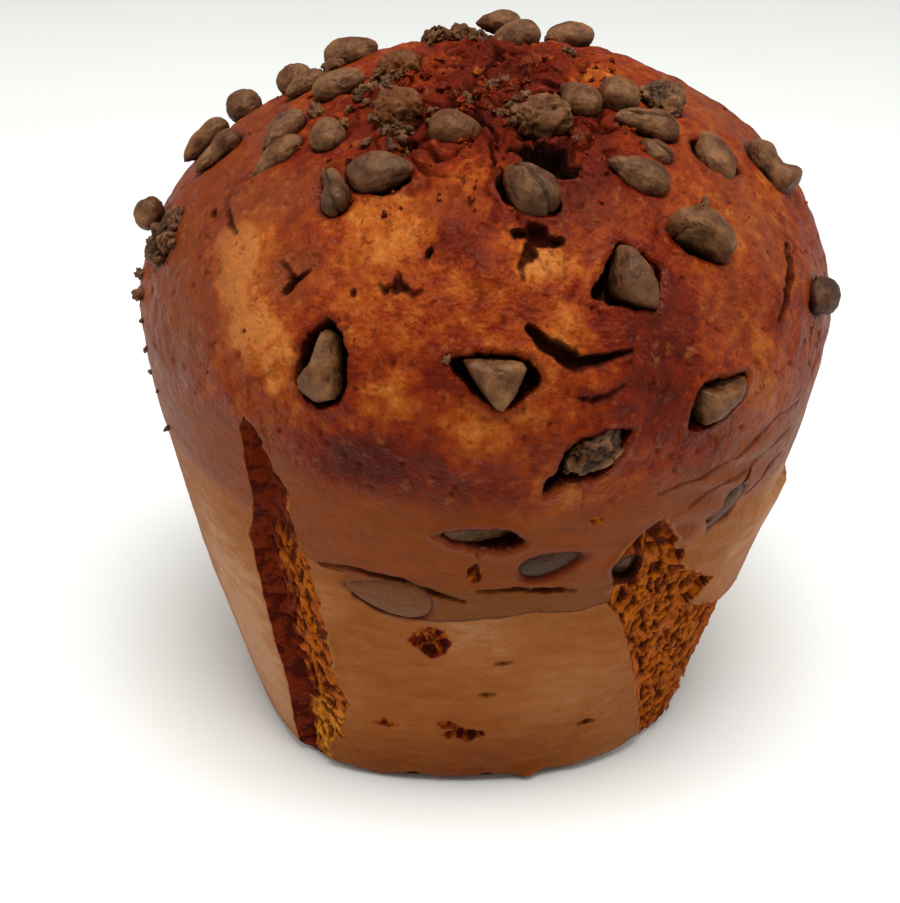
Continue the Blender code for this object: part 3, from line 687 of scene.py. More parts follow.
# Paler and duller places of the papered skin, in the same way. They are partly its own tone and partly painted light:
# paler at the sides, and painted shade darker towards the foot
PAPER_TONES_AND_LIGHT = (
    (-142.0, 78.0, 8.0, 0.45), (-140.0, 92.0, 8.0, 0.5), (-146.0, 66.0, 5.0, 0.15), (-120.0, 74.0, 3.5, 0.3),
    (-116.0, 88.0, 3.0, 0.15), (-90.0, 76.0, 5.0, 0.25), (-70.0, 84.0, 5.0, 0.2), (-102.0, 84.0, 6.0, -0.05),
    (-95.0, 98.0, 7.0, -0.3), (-75.0, 98.0, 6.0, -0.25), (-115.0, 98.0, 5.0, -0.2), (-44.0, 70.0, 5.0, 0.05),
    (-32.0, 74.0, 5.0, 0.3), (-26.0, 66.0, 5.0, 0.4), (160.0, 80.0, 12.0, 0.3), (60.0, 84.0, 12.0, 0.25),
    (100.0, 72.0, 9.0, -0.2), (10.0, 80.0, 10.0, 0.2),
)
BURST_PLACE = (-92.0, 10.0)
BURST_SPREAD = 14.5
# Swellings and dents of the crust: place, radius, and height
SWELLS = (
    (-125.2, 36.9, 4.0, 0.45), (-125.2, 37.0, 2.4, -0.95), (-97.0, 31.0, 2.2, 0.6), (-103.4, 28.6, 1.8, 0.5),
    (-91.5, 34.4, 1.6, 0.4), (-99.5, 25.5, 1.8, 0.5), (-107.0, 31.2, 1.4, 0.3), (-85.0, 44.5, 3.0, 0.3),
    (-78.0, 40.4, 2.0, 0.4), (-76.0, 45.2, 1.4, 0.35), (-72.0, 48.6, 2.0, 0.3), (-40.0, 40.0, 3.2, 0.5),
    (-36.0, 44.0, 3.0, 0.4), (-29.0, 41.5, 2.6, 0.5), (-150.0, 29.0, 3.0, 0.4), (-143.0, 36.5, 2.6, 0.3),
    (-58.0, 47.0, 3.0, 0.3), (-50.0, 34.0, 2.4, 0.35), (-62.0, 33.5, 2.0, 0.3), (-136.0, 23.0, 2.4, 0.4),
)


def soft_spots(table, points, wobble):
    """The sum of soft round spots with ragged borders, each with its own strength."""
    total = np.zeros(len(points))
    for azimuth, distance, radius, strength in table:
        away = np.linalg.norm(points + wobble - loaf(azimuth, distance), axis=-1)
        total += strength * smooth((1.7 - away / radius) / 1.4)
    return total


def drift(points, size, seed):
    """A wandering direction at each point, about 1 long."""
    return np.stack([noise(points, size, seed + axis) for axis in range(3)], -1)


def edge_height(azimuth, table):
    rows = np.array(table, float)
    return np.interp(azimuth, rows[:, 0], rows[:, 1])


def wander(values, size, seed):
    """Noise along one number, for the wandering of an edge."""
    return noise(np.stack([values, np.full_like(values, 0.37), np.full_like(values, 0.71)], -1), size, seed)


def torn_edges(azimuth, height, heights, left, right, ragged, seed):
    """A torn place's left and right edge at each point's height, with their raggedness, in degrees."""
    rising = np.array(heights[::-1])
    left_edge = np.interp(height, rising, np.array(left[::-1]))
    right_edge = np.interp(height, rising, np.array(right[::-1]))
    left_edge = left_edge + ragged[0] * (wander(height, 2.6, seed) + 0.5 * wander(height, 0.9, seed + 1))
    right_edge = right_edge + ragged[1] * (wander(height, 2.2, seed + 2) + 0.6 * wander(height, 0.8, seed + 3))
    return left_edge, right_edge


TEARS = (
    ("groove", GROOVE_HEIGHTS, GROOVE_LEFT, GROOVE_RIGHT, (0.3, 1.0), 21),
    ("patch", PATCH_HEIGHTS, PATCH_LEFT, PATCH_RIGHT, (0.4, 2.2), 31),
)


def snap_columns(azimuth, distance):
    """Moves the vertices nearest to a torn edge onto it, so that the edge comes out crisp."""
    height = np.interp(distance, OUTLINE_DISTANCE, OUTLINE[:, 1])
    column = 90.0 / (8 * RINGS) * (1.0 + FRONT_CROWDING * np.cos(np.radians(azimuth - BACK_AZIMUTH)))
    for name, heights, left, right, ragged, seed in TEARS:
        for edge in torn_edges(azimuth, height, heights, left, right, ragged, seed):
            near = (abs(azimuth - edge) < column) & (height < heights[0]) & (distance < BASE_DISTANCE)
            azimuth = np.where(near, edge, azimuth)
    return azimuth


def torn_share(azimuth, height, radius, tear):
    """How far inside a torn place a point lies, in mm, and how far across from left to right, from 0 to 1."""
    name, heights, left, right, ragged, seed = tear
    left_edge, right_edge = torn_edges(azimuth, height, heights, left, right, ragged, seed)
    inside = np.minimum(azimuth - left_edge, right_edge - azimuth) * np.radians(radius)
    inside = np.minimum(inside, heights[0] - height)
    across = (azimuth - left_edge) / np.maximum(right_edge - left_edge, 0.1)
    return inside, np.clip(across, 0.0, 1.0)


def place_skin(azimuth, distance, quads, polygons):
    """The bare loaf on a grid: its points, and what they need to be told apart."""
    skin = SimpleNamespace(azimuth=azimuth, distance=distance, points=loaf(azimuth, distance))
    triangles = as_triangles(quads, polygons)
    skin.outward = vertex_normals(skin.points, triangles)
    skin.cell = cell_sizes(skin.points, triangles)
    skin.height = np.interp(distance, OUTLINE_DISTANCE, OUTLINE[:, 1])
    skin.radius = np.interp(distance, OUTLINE_DISTANCE, OUTLINE[:, 0])
    skin.band_edge = edge_height(azimuth, BAND_EDGE) + 0.3 * wander(azimuth, 3.5, 42)
    skin.front = smooth((azimuth + 124.0) / 4.0) * smooth((-64.0 - azimuth) / 4.0)
    skin.groove_inside, skin.groove_across = torn_share(azimuth, skin.height, skin.radius, TEARS[0])
    skin.patch_inside, skin.patch_across = torn_share(azimuth, skin.height, skin.radius, TEARS[1])
    return skin


BUSY_MARGIN = 0.7


def busy_places(skin, spots):
    """Whether each point is in or beside something that needs a finer grid."""
    busy = np.maximum(skin.groove_inside, skin.patch_inside) > -BUSY_MARGIN
    busy |= (abs(skin.band_edge - skin.height) < BUSY_MARGIN) & (skin.front > 0.0)
    busy |= np.linalg.norm(skin.points - loaf(*BURST_PLACE), axis=-1) < BURST_SPREAD
    for name, steps, depth in CRACKS:
        places, halves = crack_line(steps)
        near = near_line(skin.points, places)
        nearest, away, width = to_line(skin.points[near], places, halves)
        busy[near] |= away < width + BUSY_MARGIN
    for spot_here in spots:
        if spot_here[0] != "seat":
            near, edge = spot_edge(skin.points, spot_here)
            busy[near] |= edge < BUSY_MARGIN
    return busy


def spot_edge(points, spot_here):
    """The points near an opening, and their signed distance to its edge."""
    kind, origin, right, uphill, outline_here, depth = spot_here
    near = near_outline(points, origin, outline_here)
    local = points[near] - origin
    return near, to_outline(local @ right, local @ uphill, outline_here)[0]


def torn_crumb(points):
    """Relief of torn crumb, in mm, and how deep each point lies in its pores, from 0 to 1."""
    warped = (points + 0.5 * drift(points, 1.3, 54)) * np.array([1.0, 1.0, 0.8])
    web = fractal(warped, 1.1, 3, 53)
    pores = smooth((-0.06 - web) / 0.2)
    pinholes, own = cells(warped, 0.85, 52)
    pores = np.maximum(pores, smooth(1.2 - pinholes / (0.08 + 0.16 * own)) * 0.75)
    threads = 0.3 - abs(noise(warped * np.array([1.0, 1.0, 0.45]), 0.9, 56))
    return 0.25 * web + 0.2 * threads - 0.3 * pores, pores


def burst_crumb(points):
    """Relief of the crumbly burst crown, in mm, and the depth of its crevices, from 0 to 1, which the material paints
    as shade.
    """
    warped = points + 0.9 * drift(points, 2.2, 60)
    large, own = cells(warped, 2.1, 8)
    small, small_own = cells(warped, 1.0, 9)
    knobs = 0.55 * smooth(1.25 - large / (0.5 + 0.6 * own)) * (0.4 + own)
    knobs = knobs + 0.25 * smooth(1.25 - small / (0.25 + 0.35 * small_own))
    crevice = smooth(1.0 - abs(noise(warped, 4.2, 14)) / 0.11)
    ragged = 0.5 * (0.3 - abs(noise(warped, 1.6, 13))) + 0.25 * (0.3 - abs(noise(warped, 0.8, 19)))
    relief = 0.85 * fractal(points, 4.4, 3, 11) + knobs + ragged - 0.95 * crevice - 0.3
    return relief, np.clip(crevice * 0.9 + smooth(0.25 - knobs * 2.0) * 0.4 - ragged, 0.0, 1.0)


def bake_crust(skin):
    """The dome: lumps, wrinkles, pits and the burst crown."""
    points = skin.points
    crust_edge = edge_height(skin.azimuth, CRUST_EDGE) + 0.8 * noise(points, 7.0, 41)
    skin.dome = smooth((skin.height - crust_edge + 2.0) / 5.0)
    far = np.linalg.norm(points - loaf(*BURST_PLACE), axis=-1) + 2.4 * noise(points, 5.0, 44)
    skin.burst = smooth(1.6 - far / BURST_SPREAD)
    lumps = 0.3 * fractal(points, 8.0, 2, 1) + 0.2 * fractal(points, 2.8, 3, 4)
    lumps += soft_spots(SWELLS, points, 0.5 * drift(points, 2.0, 67))
    warped = points + 0.8 * drift(points, 2.5, 66)
    crease = smooth(1.0 - abs(noise(warped, 4.6, 14)) / 0.06) * smooth(noise(points, 9.0, 15) * 2.0 + 0.3)
    pit, own = cells(points, 1.6, 16)
    pits = smooth(1.2 - pit / (0.12 + 0.32 * own)) * smooth((own - 0.4) * 6.0) * 0.3
    rough, crevice = burst_crumb(points)
    calm = 1.0 - skin.burst
    skin.lift += skin.dome * (lumps - pits - 0.14 * calm * crease) + skin.burst * rough
    # Painted shade in the burst crown's crevices, in the pits and in the creases.
    skin.crevice = np.clip(skin.burst * crevice + (pits * 2.0 + 0.5 * crease * calm) * skin.dome, 0.0, 1.0)


def paper_side(skin):
    """Band and papered wall: slow dents, level streaks, pleats at the right and the skin's flap there."""
    points, azimuth, height = skin.points, skin.azimuth, skin.height
    side = 1.0 - skin.dome
    skin.papered = smooth((skin.band_edge - height) / (0.3 + 3.0 * (1.0 - skin.front)) + 0.5)
    level = points * np.array([0.3, 0.3, 1.0])
    relief = 0.18 * noise(points, 13.0, 17) + 0.045 * fractal(level, 1.5, 2, 18) + 0.03 * noise(points, 0.9, 19)
    pleats = smooth((azimuth + 66.0) / 12.0) * smooth((-26.0 - azimuth) / 14.0) * smooth((height - 24.0) / 8.0)
    slanted = height + 0.25 * (azimuth + 50.0) + 2.6 * noise(points, 9.0, 43)
    relief = relief + pleats * 0.2 * np.sin(math.tau * slanted / 3.9)
    skin.lift += side * relief - skin.papered * (0.12 + 0.33 * skin.front)
    flap = smooth((azimuth + 36.0) / 5.0) * smooth((-16.0 - azimuth) / 5.0)
    below = skin.distance - FLAP_START - 0.5 * wander(azimuth, 2.0, 45)
    skin.lift += flap * FLAP_LIFT * smooth(below / 0.35) * smooth(1.0 - below / FLAP_LENGTH)
    skin.flap_edge = flap * smooth(1.0 - abs(below) / 0.5)


FLAP_START = 67.0
FLAP_LENGTH = 9.5
FLAP_LIFT = 0.8


def tear_skin(skin):
    """The groove and the patch, where the skin came off with the paper and the crumb shows."""
    relief, pores = torn_crumb(skin.points)
    groove = smooth(skin.groove_inside / TEAR_SHARPNESS)
    patch = smooth(skin.patch_inside / TEAR_SHARPNESS)
    inside = np.maximum(skin.groove_inside, skin.patch_inside)
    skin.torn = smooth(1.0 + inside / TEAR_SHARPNESS)
    skin.peel = smooth(1.0 - abs(inside + 0.3) / 0.4) * (1.0 - skin.torn)
    skin.peel = skin.peel * smooth((GROOVE_HEIGHTS[3] - skin.height) / 2.0) * smooth(noise(skin.points, 3.0, 57) * 3.0)
    skin.lift += 0.22 * skin.peel
    ramp = smooth((36.0 - skin.height) / 8.0)
    across = skin.groove_across
    slope = GROOVE_DEPTH + (GROOVE_SHALLOW - GROOVE_DEPTH) * across * (0.45 + 0.55 * ramp)
    slope = SKIN_THICKNESS + (slope - SKIN_THICKNESS) * smooth(skin.groove_inside / WALL_REACH)
    calm_wall = 0.45 + 0.55 * smooth(skin.groove_inside / WALL_REACH - 0.6)
    skin.lift += groove * (relief * (0.4 + 0.6 * ramp) * calm_wall - slope - skin.lift)
    slope = SKIN_THICKNESS + (PATCH_DEPTH - SKIN_THICKNESS) * smooth(skin.patch_inside / WALL_REACH)
    skin.lift += patch * (relief * 1.2 - slope - skin.lift)
    edge = 0.45 + 0.3 * noise(skin.points, 1.6, 46)
    # Painted shade: the left part of the groove, where its wall lies in shadow, is painted dark. In the patch there is
    # painted shade near the edges and darker crumb at random.
    shaded_left = np.maximum(smooth((edge - across) / 0.12), (1.0 - ramp) * smooth((0.95 - across) / 0.2))
    in_groove = skin.torn * (skin.groove_inside > skin.patch_inside)
    in_patch = skin.torn - in_groove
    skin.gloom = in_groove * shaded_left
    skin.gloom = np.maximum(skin.gloom, in_patch * smooth(0.8 - skin.patch_inside / 0.5) * 0.6)
    skin.gloom = np.maximum(skin.gloom, in_patch * smooth(noise(skin.points, 3.4, 47) * 1.5) * 0.7)
    skin.glow = in_groove * (1.0 - shaded_left) * smooth((12.0 - skin.height) / 4.0)
    skin.glow = np.maximum(skin.glow, in_groove * smooth(1.0 - abs(skin.height - 35.5) / 2.5) * smooth((across - 0.7) / 0.1))
    skin.relief, skin.pore_field = relief, pores
    # Painted shade in the torn crumb's pores.
    skin.pores = pores * skin.torn


def open_cracks(skin, spots):
    """Cracks and crumb holes, with painted shade in them. On the wall a hole shows crumb, on the dome it is painted
    dark as shade.
    """
    cut, dark = crack_depths(skin.points)
    hole = np.zeros(len(cut))
    for spot_here in spots:
        if spot_here[0] == "hole":
            near, edge = spot_edge(skin.points, spot_here)
            hole[near] = np.maximum(hole[near], smooth(0.8 - edge / 0.2))
            cut[near] = np.maximum(cut[near], spot_here[5] * smooth(-edge / 0.25) * (0.6 + 0.4 * smooth(-edge / 0.8)))
    wall_hole = hole * (1.0 - skin.dome)
    skin.lift += wall_hole * (cut > 0.05) * skin.relief * 0.6 - cut
    skin.crumb = np.maximum(skin.torn, wall_hole)
    # Painted shade in ragged patches and in the pores inside the wall holes.
    ragged = smooth(0.5 + 2.2 * fractal(skin.points, 0.6, 2, 90))
    skin.gloom = np.maximum(skin.gloom, wall_hole * ragged)
    skin.pores = np.maximum(skin.pores, wall_hole * skin.pore_field)
    # Painted shade in the cracks, and in the holes on the dome.
    skin.crevice = np.maximum(skin.crevice, np.maximum(dark, hole * (1.0 - wall_hole)))


def press_chips(skin, spots):
    """Pockets round the front chips, seats under the others, and the hollow at the crown. Each gets painted shade
    inside, and a dark rim round it that is partly painted shade and partly chocolate melted into the crust.
    """
    skin.stain = np.zeros(len(skin.points))
    skin.rim = np.zeros(len(skin.points))
    for spot_here in spots:
        kind, depth = spot_here[0], spot_here[5]
        near, edge = spot_edge(skin.points, spot_here)
        lift = skin.lift[near]
        if kind == "pocket":
            bowl = depth * smooth(-edge / POCKET_SHARPNESS) * (0.6 + 0.4 * smooth(-edge / 1.4))
            swell = 0.18 * smooth(1.0 - abs(edge - 0.6) / 0.6)
            skin.lift[near] = lift * smooth(edge / 0.8) + swell - bowl
            # Painted shade in black inside the pocket, and a dark red rim round it that is partly painted shade and
            # partly chocolate melted into the crust.
            skin.stain[near] = np.maximum(skin.stain[near], smooth(0.5 - edge / 0.25))
            skin.rim[near] = np.maximum(skin.rim[near], smooth(1.0 - edge / 1.1) * 0.9)
        elif kind == "seat":
            seat = smooth(0.6 - edge / 0.8)
            skin.lift[near] = lift * (1.0 - 0.7 * seat) - (CHIP_SEAT + 0.5 * smooth(-edge / 0.6)) * seat
            # A rim of painted shade and melted chocolate round the chip, and painted shade under it.
            skin.rim[near] = np.maximum(skin.rim[near], smooth(1.0 - edge / 0.7))
            skin.stain[near] = np.maximum(skin.stain[near], smooth(0.3 - edge / 0.3) * 0.8)
        elif kind == "hollow":
            skin.lift[near] = lift - depth * smooth(-edge / 0.6) * (0.5 + 0.5 * smooth(-edge / 2.0))
            # Painted shade in black inside the hollow, and dark round its edge.
            skin.stain[near] = np.maximum(skin.stain[near], smooth(0.4 - edge / 0.35))
            skin.rim[near] = np.maximum(skin.rim[near], smooth(0.8 - edge / 1.2))


def settle_foot(skin):
    """The skin's ragged lower edge, and the flat base."""
    lower_edge = 0.7 + 0.6 * wander(skin.azimuth, 9.0, 48) + 0.35 * wander(skin.azimuth, 2.0, 49)
    lower_edge += 1.2 * smooth(1.0 - abs(skin.azimuth + 46.0) / 8.0)
    under = smooth((lower_edge - skin.height) / 0.3)
    skin.lift = skin.lift * smooth(skin.height / 2.0) - 0.7 * under
    # Painted shade under the skin's lower edge.
    skin.gloom = np.maximum(skin.gloom, under * 0.8)
    skin.crumb = np.maximum(skin.crumb, under)
    skin.lift += TAB_LIFT * bump(skin.azimuth, TAB_AZIMUTH, 2.2) * smooth(1.0 - abs(skin.height - 1.2) / 1.6)
    flat = skin.distance > BASE_DISTANCE - 0.3
    skin.lift = np.where(flat, -0.7, skin.lift)
    final = skin.points + skin.outward * np.where(flat, 0.0, skin.lift)[:, None]
    final[:, 2] = np.where(flat, 0.0, np.maximum(final[:, 2], 0.0))
    return final


TAB_AZIMUTH = -76.0
TAB_LIFT = 0.7


def skin_shares(skin):
    """What the material reads at each vertex."""
    points = skin.points
    wobble = 1.0 * drift(points, 2.6, 86) + 0.45 * drift(points, 0.8, 89)
    crust_tone = 0.44 + 0.1 * fractal(points, 6.0, 3, 80) + 0.14 * fractal(points, 1.7, 3, 84)
    crust_tone += 0.85 * soft_spots(TONES, points, wobble) - 0.22 * skin.burst
    level = points * np.array([0.4, 0.4, 1.0])
    # The papered skin's tone carries painted light: paler at the sides, darker towards the foot.
    paper_tone_and_light = 0.4 + 0.07 * fractal(level, 5.0, 3, 81) + soft_spots(PAPER_TONES_AND_LIGHT, points, 0.3 * wobble)
    purple = np.clip(soft_spots(PURPLES, points, wobble), 0.0, 1.0)
    smear = smooth((skin.azimuth + 112.4) / 1.2) * smooth((-66.0 - skin.azimuth) / 3.0)
    smear = smear * smooth((skin.band_edge - skin.height) * -2.2 + 0.6) * smooth((31.6 - skin.height) / 1.2)
    # Painted shade: a dark line under the band's overhanging lip at the front.
    lip = smooth(1.5 - abs(skin.band_edge - skin.height) / 0.3) * skin.front
    tone = crust_tone + (paper_tone_and_light - crust_tone) * skin.papered
    return {
        "tone": np.clip(tone, 0.0, 1.0),
        "purple": purple * (0.4 + 0.6 * skin.dome) * (1.0 - 0.7 * skin.burst),
        "band": (1.0 - skin.dome) * (1.0 - skin.papered),
        "papered": skin.papered * (1.0 - skin.crumb),
        "smear": smear * (1.0 - skin.crumb),
        "peel": skin.peel + 0.6 * skin.flap_edge,
        "crumb": skin.crumb,
        "gloom": skin.gloom,
        "glow": skin.glow,
        "pores": skin.pores,
        "crevice": np.maximum(skin.crevice, 0.9 * lip * (1.0 - skin.crumb)),
        "rim": skin.rim,
        "stain": skin.stain,
        "burst": skin.burst,
    }


def shape_skin():
    """The whole skin as a namespace, the faces of each piece, with the last ring closing the foot, and the chips."""
    azimuth, distance, quads, parts, last_ring = skin_grid()
    coarse = place_skin(azimuth, distance, quads, [])
    chips = chip_frames(coarse.points, coarse.outward)
    spots = outline_spots(chips)
    busy = busy_places(coarse, spots)
    chosen = busy[quads].any(axis=1) & (distance[quads].min(axis=1) > 1.0)
    chosen &= distance[quads].max(axis=1) <= BASE_DISTANCE
    azimuth, distance, quads, parts, polygons, polygon_parts = refine(azimuth, distance, quads, parts, chosen)
    skin = place_skin(snap_columns(azimuth, distance), distance, quads, polygons)
    skin.points = snap_outlines(skin.points, spots, skin.cell)
    skin.points = snap_cracks(skin.points, skin.outward, skin.cell)
    skin.lift = np.zeros(len(skin.points))
    bake_crust(skin)
    paper_side(skin)
    tear_skin(skin)
    open_cracks(skin, spots)
    press_chips(skin, spots)
    skin.final = settle_foot(skin)
    skin.facing = vertex_normals(skin.final, as_triangles(quads, polygons))
    skin.facing[skin.final[:, 2] <= 0.0] = (0.0, 0.0, -1.0)
    faces = []
    for part in range(len(SKIN_PIECES)):
        own = [face for face, its_part in zip(polygons, polygon_parts) if its_part == part]
        faces.append(quads[parts == part].tolist() + own)
    faces[-1].append(last_ring[::-1].tolist())
    return skin, faces, chips


def chip_plan(name, chip):
    """A chip's outline in its own frame of across and along."""
    if name not in CHIP_PLANS:
        return drop_plan(chip["length"], chip["half"])
    right, uphill = uphill_frame(chip["middle"])
    turned = [x * right + y * uphill for x, y in CHIP_PLANS[name]]
    return [(float(corner @ chip["across"]), float(corner @ chip["along"])) for corner in turned]


# Building pieces


def piece(name, points, faces, material, normals=None, shares=None):
    """A piece of the muffin from points in mm."""
    mesh = bpy.data.meshes.new(name)
    mesh.from_pydata((points * MM).tolist(), [], faces)
    mesh.update()
    mesh.shade_smooth()
    for share, values in (shares or {}).items():
        attribute = mesh.attributes.new(share, "FLOAT", "POINT")
        attribute.data.foreach_set("value", values.astype(np.float32))
    if normals is not None:
        mesh.normals_split_custom_set_from_vertices(normals.tolist())
    mesh.materials.append(material)
    made = bpy.data.objects.new(name, mesh)
    bpy.context.scene.collection.objects.link(made)
    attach(made, "root")
    return made


SKIN_PIECES = ("muffin_dome", "muffin_band", "muffin_foot")


def build_skin(skin, faces, material):
    """The skin's pieces. They keep the normals of the whole, so that no seam shows."""
    shares = skin_shares(skin)
    for name, own_faces in zip(SKIN_PIECES, faces):
        used = np.unique(np.concatenate([np.array(face) for face in own_faces]))
        renumbered = np.zeros(len(skin.final), int)
        renumbered[used] = np.arange(len(used))
        own_faces = [renumbered[face].tolist() for face in own_faces]
        own_shares = {share: values[used] for share, values in shares.items()}
        piece(name, skin.final[used], own_faces, material, skin.facing[used], own_shares)
    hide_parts("muffin_body")


# Chips

CHIP_LUMPS = 0.16
CHIP_WRINKLES = 0.16
CRUMBLED = ("crown_a", "crown_b", "crown_g", "crown_h", "crown_i", "right_c", "shoulder_m", "front_d")
# How far a chip bows sideways, in mm, how deep its waist is, and how much darker it is, where that matters
BENT = {"right_h": 0.9, "right_d": 0.5, "shoulder_h": 0.4, "shoulder_j": 0.6, "right_b": 0.4}
TURNED_ROUND = ("right_h",)
WAISTED = {"right_h": 0.5, "shoulder_j": 0.3, "shoulder_f": 0.25, "right_d": 0.2}
DARKER = {
    "crown_a": 0.3, "crown_b": 0.35, "crown_g": 0.25, "crown_h": 0.6, "crown_i": 0.55, "right_i": 0.35,
    "right_l": 0.55, "side_a": 0.35, "side_b": 0.7, "side_c": 0.75, "side_d": 0.4, "shoulder_j": 0.3, "front_d": 0.2,
    "right_k": 0.15, "right_e": 0.2, "right_f": 0.15, "shoulder_k": 0.3, "crown_f": 0.25,
}
# Chips baked into the wall: how much of their thickness is left, how far they stand out, and how far the tip sinks
FLUSH = {
    "side_a": (0.6, -0.25, 1.5), "side_b": (0.45, -0.1, 0.2), "side_c": (0.7, -0.7, 0.2), "side_d": (0.45, 0.0, 0.2),
    "side_e": (0.3, -0.02, 0.1),
}
FLAT = ("side_e", "side_b", "side_d")
# How much of each chip's bloom is baked away to brown
SMEARED = {"side_e": 1.0, "crown_h": 0.8, "crown_i": 0.8, "crown_a": 0.4, "crown_b": 0.4, "crown_g": 0.4, "crown_f": 0.3}


def ball(detail):
    """Directions and faces of an even ball."""
    shape = bmesh.new()
    bmesh.ops.create_icosphere(shape, subdivisions=detail, radius=1.0)
    points = np.array([vertex.co for vertex in shape.verts])
    faces = [[vertex.index for vertex in face.verts] for face in shape.faces]
    shape.free()
    return unit(points), faces


def plan_reach(plan, angle):
    """How far a plan's outline is from its middle in each direction."""
    corners = np.array(plan + plan[:1])
    fine = np.concatenate([a + (b - a) * np.linspace(0, 1, 12)[:-1, None] for a, b in zip(corners, corners[1:])])
    angles = np.arctan2(fine[:, 1], fine[:, 0])
    order = np.argsort(angles)
    reach = np.hypot(*fine.T)[order]
    ring = np.array([0.06, 0.12, 0.64, 0.12, 0.06])
    reach = np.convolve(np.concatenate([reach[-2:], reach, reach[:2]]), ring, "valid")
    return np.interp(angle, angles[order], reach, period=math.tau)


def planned_chip(name, chip, directions, thick):
    """A chip whose outline is given: flat-topped, with steep sides."""
    across, out, along = directions.T
    level = np.hypot(across, along)
    reach = plan_reach(chip_plan(name, chip), np.arctan2(along, across)) * level**0.6 / np.maximum(level, 1e-6)
    return np.stack([across * reach, np.sign(out) * abs(out) ** 0.8 * thick, along * reach], -1)


def pebble_chip(chip, directions, thick, taper):
    """A rounded drop whose narrow end is at +along."""
    across, out, along = directions.T
    polar = np.arccos(np.clip(along, -1.0, 1.0))
    profile = np.sin(polar) ** 0.85 * np.sin(polar / 2.0) ** taper
    profile = profile / profile.max()
    turn = np.arctan2(out, across)
    return np.stack([chip["half"] * profile * np.cos(turn), thick * profile * np.sin(turn),
                     chip["length"] / 2.0 * np.cos(polar)], -1)


def chip_relief(name, local, folded):
    """Lumps, wrinkles and a lengthwise crease of a chip, in mm."""
    lost = local + name_seed(name) * 3.7
    warped = lost + 0.5 * drift(lost, 1.2, 77)
    lumps = CHIP_LUMPS * fractal(lost, 2.3, 2, 70)
    if name in CRUMBLED:
        curls = lost + 1.1 * drift(lost, 1.6, 81)
        lumps = lumps + 0.6 * fractal(curls, 2.0, 2, 79) - 0.5 * smooth(1.0 - abs(noise(curls, 1.1, 78)) / 0.14) - 0.1
    wrinkles = CHIP_WRINKLES * (0.3 - abs(noise(warped * np.array([1.0, 1.0, 0.45]), 0.7, 74)))
    crease = smooth(1.0 - abs(local[:, 0] + 0.4 * noise(lost, 2.0, 75)) / 0.3)
    flat = 1.0 - 0.8 * (name in FLAT)
    return (lumps + wrinkles - 0.3 * folded * crease) * flat


def build_chip(name, chip, shape, material):
    """A chip in its CAD node's place, with lumps, wrinkles and a bend."""
    directions, faces = shape
    luck = np.random.default_rng(name_seed(name))
    kept, proud, tip_sink = FLUSH.get(name, (0.95, 0.0, 0.0))
    thick = min(chip["half"], chip["length"] * 0.4) * kept
    if name in CHIP_PLANS:
        local = planned_chip(name, chip, directions, thick)
    else:
        local = pebble_chip(chip, directions, thick, luck.uniform(0.25, 0.8))
    if name in TURNED_ROUND:
        local[:, 2] *= -1.0
        local[:, 0] *= -1.0
    lengthwise = local[:, 2] / chip["length"] * 2.0
    waist = 1.0 - WAISTED.get(name, 0.0) * smooth(1.0 - abs(lengthwise - 0.1) / 0.7)
    local[:, :2] *= waist[:, None]
    local[:, 0] += BENT.get(name, 0.0) * (lengthwise**2 - 0.5)
    relief = chip_relief(name, local, luck.random() < FOLDED_SHARE)
    facing = unit(local / np.array([chip["half"], thick, chip["length"] / 2.0]) ** 2)
    local = local + facing * relief[:, None]
    if name in FLUSH:
        local[:, 1] += chip["sink"] + proud - thick
        local[:, 1] -= tip_sink * smooth(local[:, 2] / chip["length"] + 0.4)
    points = chip["middle"] + local @ np.stack([chip["across"], chip["up"], chip["along"]])
    # Painted shade on the chip's underside and in its dents, on top of each chip's own darker colour.
    under = smooth(0.25 - directions[:, 1] * 1.3)
    shares = {
        "shade_and_dark_chocolate": np.clip(0.3 - relief * 2.4 + 0.6 * under + DARKER.get(name, 0.0), 0.0, 1.0),
        "smeared": np.full(len(points), SMEARED.get(name, 0.0)),
    }
    made = piece(name + "_chip", points, faces, material, None, shares)
    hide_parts("chip_" + name)


FOLDED_SHARE = 0.3
FINE_CHIP = 5
PLAIN_CHIP = 4
FRONT_LIMIT = 12.0


def build_chips(chips, material):
    fine, plain = ball(FINE_CHIP), ball(PLAIN_CHIP)
    for name, chip in chips.items():
        build_chip(name, chip, fine if chip["middle"][1] < FRONT_LIMIT else plain, material)


# Crumbs and fragments

# Heaps of crumbled chocolate: place, radius, number of flakes, and height of the heap
HEAPS = (
    (-163.8, 11.9, 2.2, 26, 0.9), (-131.2, 16.1, 2.6, 34, 0.9), (-146.5, 14.8, 2.2, 26, 0.8),
    (-118.0, 20.0, 1.8, 18, 0.5), (-123.8, 18.1, 2.0, 22, 0.7), (-72.0, 15.9, 1.8, 22, 0.8),
    (-76.2, 13.6, 2.4, 34, 1.2), (-62.0, 13.3, 1.4, 12, 0.5), (-83.0, 14.3, 1.8, 20, 0.8),
    (56.0, 10.4, 0.9, 6, 0.4), (103.5, 4.5, 1.7, 16, 0.8), (8.8, 7.9, 0.8, 5, 0.3),
    (123.5, 10.7, 1.8, 20, 1.2), (111.8, 9.7, 1.6, 16, 1.0), (-105.0, 11.0, 1.5, 8, 0.3),
    (-110.0, 15.0, 1.6, 10, 0.3), (-95.0, 8.0, 1.8, 8, 0.3),
)
